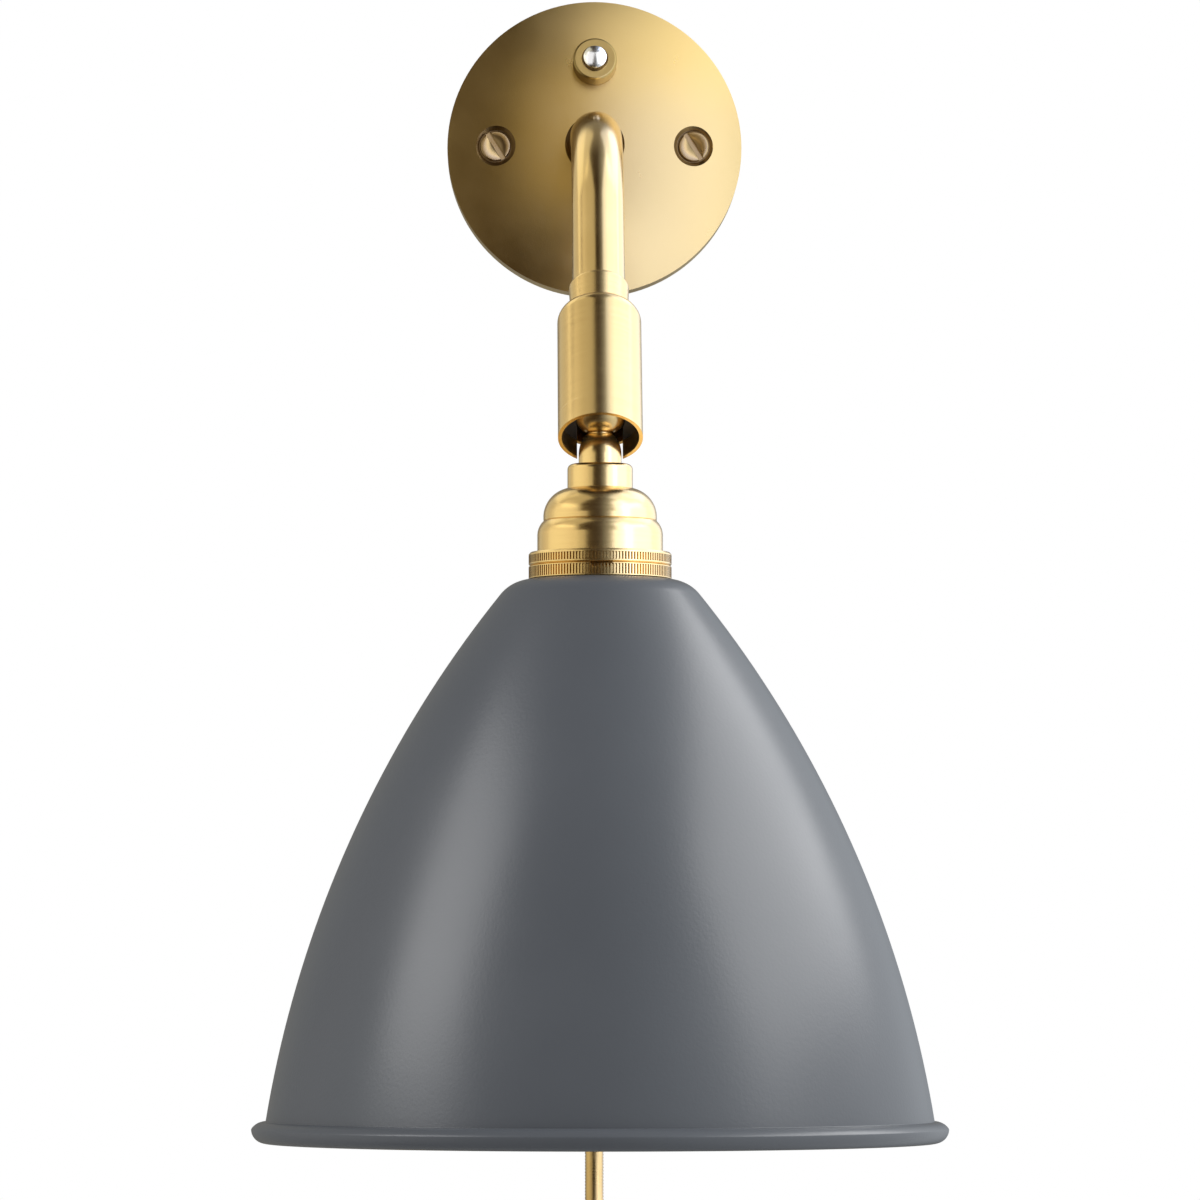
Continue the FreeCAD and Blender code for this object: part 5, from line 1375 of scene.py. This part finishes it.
WHITE, AMBER = (1.0, 1.0, 1.0), (1.0, 0.84, 0.48)
COOL, WARM = (0.65, 0.73, 1.0), (1.0, 0.96, 0.74)
LIT = {
    "rose": ("cover_dome", "cover_screw_pair", "dress_nut"), "button": ("push_button",),
    "paint": ("spun_shade",), "floor": ("floor",),
}
LAMPS = (
    Lamp("side_left", (-0.955, -0.300, -0.10), (1.25, 1.4), 0.76, WARM, ("others", "button")),
    Lamp("low_left", (-0.705, -1.05, -0.30), (0.42, 0.9), 0.78, WARM, ("others",)),
    Lamp("back_left", (-0.80, 0.60, 0.10), (0.80, 1.7), 0.45, WARM, ("others",)),
    Lamp("back_high_left", (-0.62, 0.50, 0.85), (0.8, 0.8), 0.6, WARM, ("others",)),
    Lamp("top_left", (-0.91, -0.34, 1.0), (1.10, 1.3), 0.62, WARM, ("others", "button")),
    Lamp("side_right", (0.95, -0.30, -0.10), (1.2, 1.4), 1.9, COOL, ("others", "button")),
    Lamp("low_right", (0.535, -1.154, -0.30), (0.21, 0.9), 2.0, COOL, ("others",)),
    Lamp("back_right", (0.80, 0.60, 0.10), (0.80, 1.7), 1.1, COOL, ("others",)),
    Lamp("back_high_right", (0.62, 0.50, 0.85), (0.8, 0.8), 1.2, COOL, ("others",)),
    Lamp("front_right", (0.865, -0.915, 0.25), (0.66, 1.7), 2.0, COOL, ("others",)),
    Lamp("top_right", (0.93, -0.25, 1.0), (1.05, 1.3), 1.4, COOL, ("others", "button")),
    Lamp("button_left", (-0.55, -1.12, 0.35), (0.90, 1.6), 1.0, WHITE, ("button",)),
    Lamp("button_right", (0.60, -1.12, 0.35), (0.90, 1.6), 1.2, WHITE, ("button",)),
    Lamp("rose_right", (0.48, -1.14, -0.30), (0.9, 1.7), 1.69, (0.52, 0.58, 1.0), ("rose",)),
    Lamp("rose_under", (0.25, 0.45, -0.85), (1.6, 0.7), 1.1, WHITE, ("rose",)),
    Lamp("rose_top", (0.45, -0.95, 0.75), (1.1, 0.7), 1.1, (0.90, 0.88, 0.90), ("rose",)),
    Lamp("rose_left", (-0.17, -1.25, 0.20), (0.5, 0.9), 0.50, AMBER, ("rose",)),
    Lamp("rose_low", (0.20, -1.20, -0.50), (0.45, 0.5), 0.8, COOL, ("rose",)),
    Lamp("shade_right", (1.03, -0.12, 0.55), (1.70, 0.8), 4.1, WHITE, ("paint",)),
    Lamp("shade_left", (-0.934, -0.438, 0.45), (0.66, 0.8), 4.0, WHITE, ("paint",)),
    Lamp("floor_light", (-0.4, -0.9, 1.5), (1.6, 1.6), 2.6, WHITE, ("floor",)),
)


@dataclass
class Studio:
    """The camera, the lamps, the floor and the world.

    The glow is the world's colour by its share from the left (-1) to the right (1), which metal mirrors.
    """

    camera_place: Triple = (-22.7, -1474.0, -206.9)
    pitch: float = 3.72
    yaw: float = -0.94
    lens: float = 180.0
    sensor: float = 36.0
    seen: tuple[float, float] = (0.05, 50.0)
    middle: Triple = (0.0, -0.08, -0.15)
    floor_height: float = -0.5
    floor_reach: float = 2.0
    floor_colour: tuple[float, ...] = (0.86, 0.86, 0.86, 1)
    floor_rough: float = 0.9
    ambient: tuple[float, ...] = (0.5, 0.5, 0.5, 1)
    behind: tuple[float, ...] = (0.26, 0.25, 0.22, 1)
    behind_from: float = 0.15
    behind_to: float = 0.45
    glow: tuple[tuple[float, tuple[float, ...]], ...] = (
        (-1.0, (0.5, 0.48, 0.40, 1)), (-0.85, (0.40, 0.36, 0.30, 1)), (-0.62, (0.07, 0.045, 0.02, 1)),
        (-0.3, (0.04, 0.024, 0.009, 1)), (0.0, (0.04, 0.024, 0.009, 1)), (0.24, (0.30, 0.32, 0.34, 1)),
        (0.5, (0.8, 0.84, 0.88, 1)), (1.0, (1.15, 1.2, 1.25, 1)))

    def camera(self) -> None:
        """The long-lens camera of the photograph."""
        data = bpy.data.cameras.new("camera")
        data.lens, data.sensor_width = self.lens, self.sensor
        data.clip_start, data.clip_end = self.seen
        item = linked("camera", data)
        item.location = Vector(self.camera_place) * MM
        item.rotation_euler = Euler((math.radians(90 + self.pitch), 0, math.radians(self.yaw)))
        bpy.context.scene.camera = item

    def hang(self, lamp: Lamp, lit: list[str]) -> None:
        """Hang a lamp that faces the light.

        Args:
            lamp: The lamp.
            lit: Names of the pieces that it lights.
        """
        data = bpy.data.lights.new(lamp.name, "AREA")
        data.shape, data.size, data.size_y = "RECTANGLE", *lamp.size
        data.energy, data.color = lamp.glow * math.pi * lamp.size[0] * lamp.size[1], lamp.colour
        item = linked(lamp.name, data)
        item.location = lamp.place
        item.rotation_euler = (Vector(self.middle) - Vector(lamp.place)).to_track_quat("-Z", "Y").to_euler()
        item.visible_camera = False
        group = bpy.data.collections.new(lamp.name + "_lit")
        for piece in lit:
            group.objects.link(bpy.data.objects[piece])
        item.light_linking.receiver_collection = group

    def lamps(self) -> None:
        """Hang the lamps round the finished pieces."""
        named = [piece for pieces in LIT.values() for piece in pieces]
        others = [item.name for item in bpy.data.objects if item.type == "MESH" and item.name not in named]
        groups = {**LIT, "others": others}
        for lamp in LAMPS:
            self.hang(lamp, [piece for group in lamp.lit for piece in groups[group]])

    def floor(self) -> None:
        """A pale floor under the light that shows white and keeps the shadow."""
        mesh = bpy.data.meshes.new("floor")
        ways = ((-1, -1), (1, -1), (1, 1), (-1, 1))
        reach, height = self.floor_reach, self.floor_height
        mesh.from_pydata([(x * reach, y * reach, height) for x, y in ways], [], [(0, 1, 2, 3)])
        item = linked("floor", mesh)
        item.visible_glossy = False
        material = bpy.data.materials.new("floor_white")
        material.use_nodes = True
        shader = material.node_tree.nodes["Principled BSDF"]
        shader.inputs["Base Color"].default_value = self.floor_colour
        shader.inputs["Roughness"].default_value = self.floor_rough
        mesh.materials.append(material)

    def world(self) -> None:
        """White behind the light; darker in front of it, where the camera stands."""
        world = bpy.data.worlds.new("studio")
        world.use_nodes = True
        world.node_tree.nodes.clear()
        nodes = Nodes(world.node_tree)
        out, back = nodes.add("ShaderNodeOutputWorld"), nodes.add("ShaderNodeBackground")
        path = nodes.add("ShaderNodeLightPath")
        coords = nodes.add("ShaderNodeTexCoord")
        parts = nodes.add("ShaderNodeSeparateXYZ", i_0=coords.outputs["Generated"])
        ramp = nodes.add("ShaderNodeValToRGB", i_0=nodes.math("MULTIPLY_ADD", parts.outputs["X"], 0.5, 0.5))
        stops = ramp.color_ramp.elements
        stops[0].color, stops[1].color = self.glow[0][1], self.glow[-1][1]
        for across, colour in self.glow[1:-1]:
            stops.new(across / 2 + 0.5).color = colour
        deep = nodes.add("ShaderNodeMapRange", i_0=parts.outputs["Y"], i_1=self.behind_from,
                         i_2=self.behind_to)
        mirrored = nodes.math("MAXIMUM", path.outputs["Is Glossy Ray"], path.outputs["Is Transmission Ray"])
        shown = nodes.mix(deep.outputs[0], ramp.outputs[0], self.behind, "LIGHTEN")
        shown = nodes.mix(mirrored, self.ambient, shown)
        nodes.put(back.inputs["Color"], nodes.mix(path.outputs["Is Camera Ray"], shown, (1, 1, 1, 1)))
        nodes.put(out.inputs[0], back.outputs[0])
        bpy.context.scene.world = world

    def build(self) -> None:
        """Set up the studio."""
        bpy.context.scene.view_settings.view_transform = "Standard"
        self.camera()
        self.floor()
        self.world()


# The solids that stay take these finishes; the dark inner brass is painted shade.
SOLID_FINISHES = {
    "inner_brass": ("cover_posts", "arm_socket", "terminal_screws", "earth_screw", "switch_bushing",
                    "switch_terminals", "swivel_nut", "stem_nut", "contact_shell", "centre_contact"),
    "zinc_steel": ("back_plate", "socket_screws", "arm_set_screw", "clamp_screws", "joint_spring"),
    "black_plastic": ("terminal_block", "cord_clamp", "switch_body", "friction_washer", "seat_ring",
                      "pressure_cup", "socket_insert", "plug_body"),
    "flex_sheath": ("arm_lead", "head_lead", "cord_lead_in"),
    "strap_weave": ("cord_tie",),
    "nickel_pin": ("plug_pins",),
}


def corners(low_high: tuple) -> list[list[float]]:
    """Turn a box into plain lists of numbers."""
    return [list(low_high[0]), list(low_high[1])]


def main() -> None:
    """Build the dressed light in order."""
    logging.basicConfig(level=logging.INFO, format="%(message)s")
    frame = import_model()
    make_turning_marks()
    make_surface_grain()
    make_band_mix()
    studio = Studio()
    studio.build()
    palette = Palette()
    arm = Arm(palette)
    ball = arm.ball_centre()
    palette.fill(ball, arm.lean)
    head_place = Matrix.Translation(ball)
    sleeve_place = head_place @ Matrix.Rotation(math.radians(-arm.lean), 4, "X")
    Cord(palette).build()
    Rose(palette).build()
    arm.build(sleeve_place)
    Joint(palette, sleeve_place, head_place).build()
    for kind in (Holder, Shade, Bulb):
        kind(palette, head_place).build()
    for finish, names in SOLID_FINISHES.items():
        for name in names:
            palette.dress_solid(frame["nodes"][name], finish)
    studio.lamps()


if __name__ == "__main__":
    main()
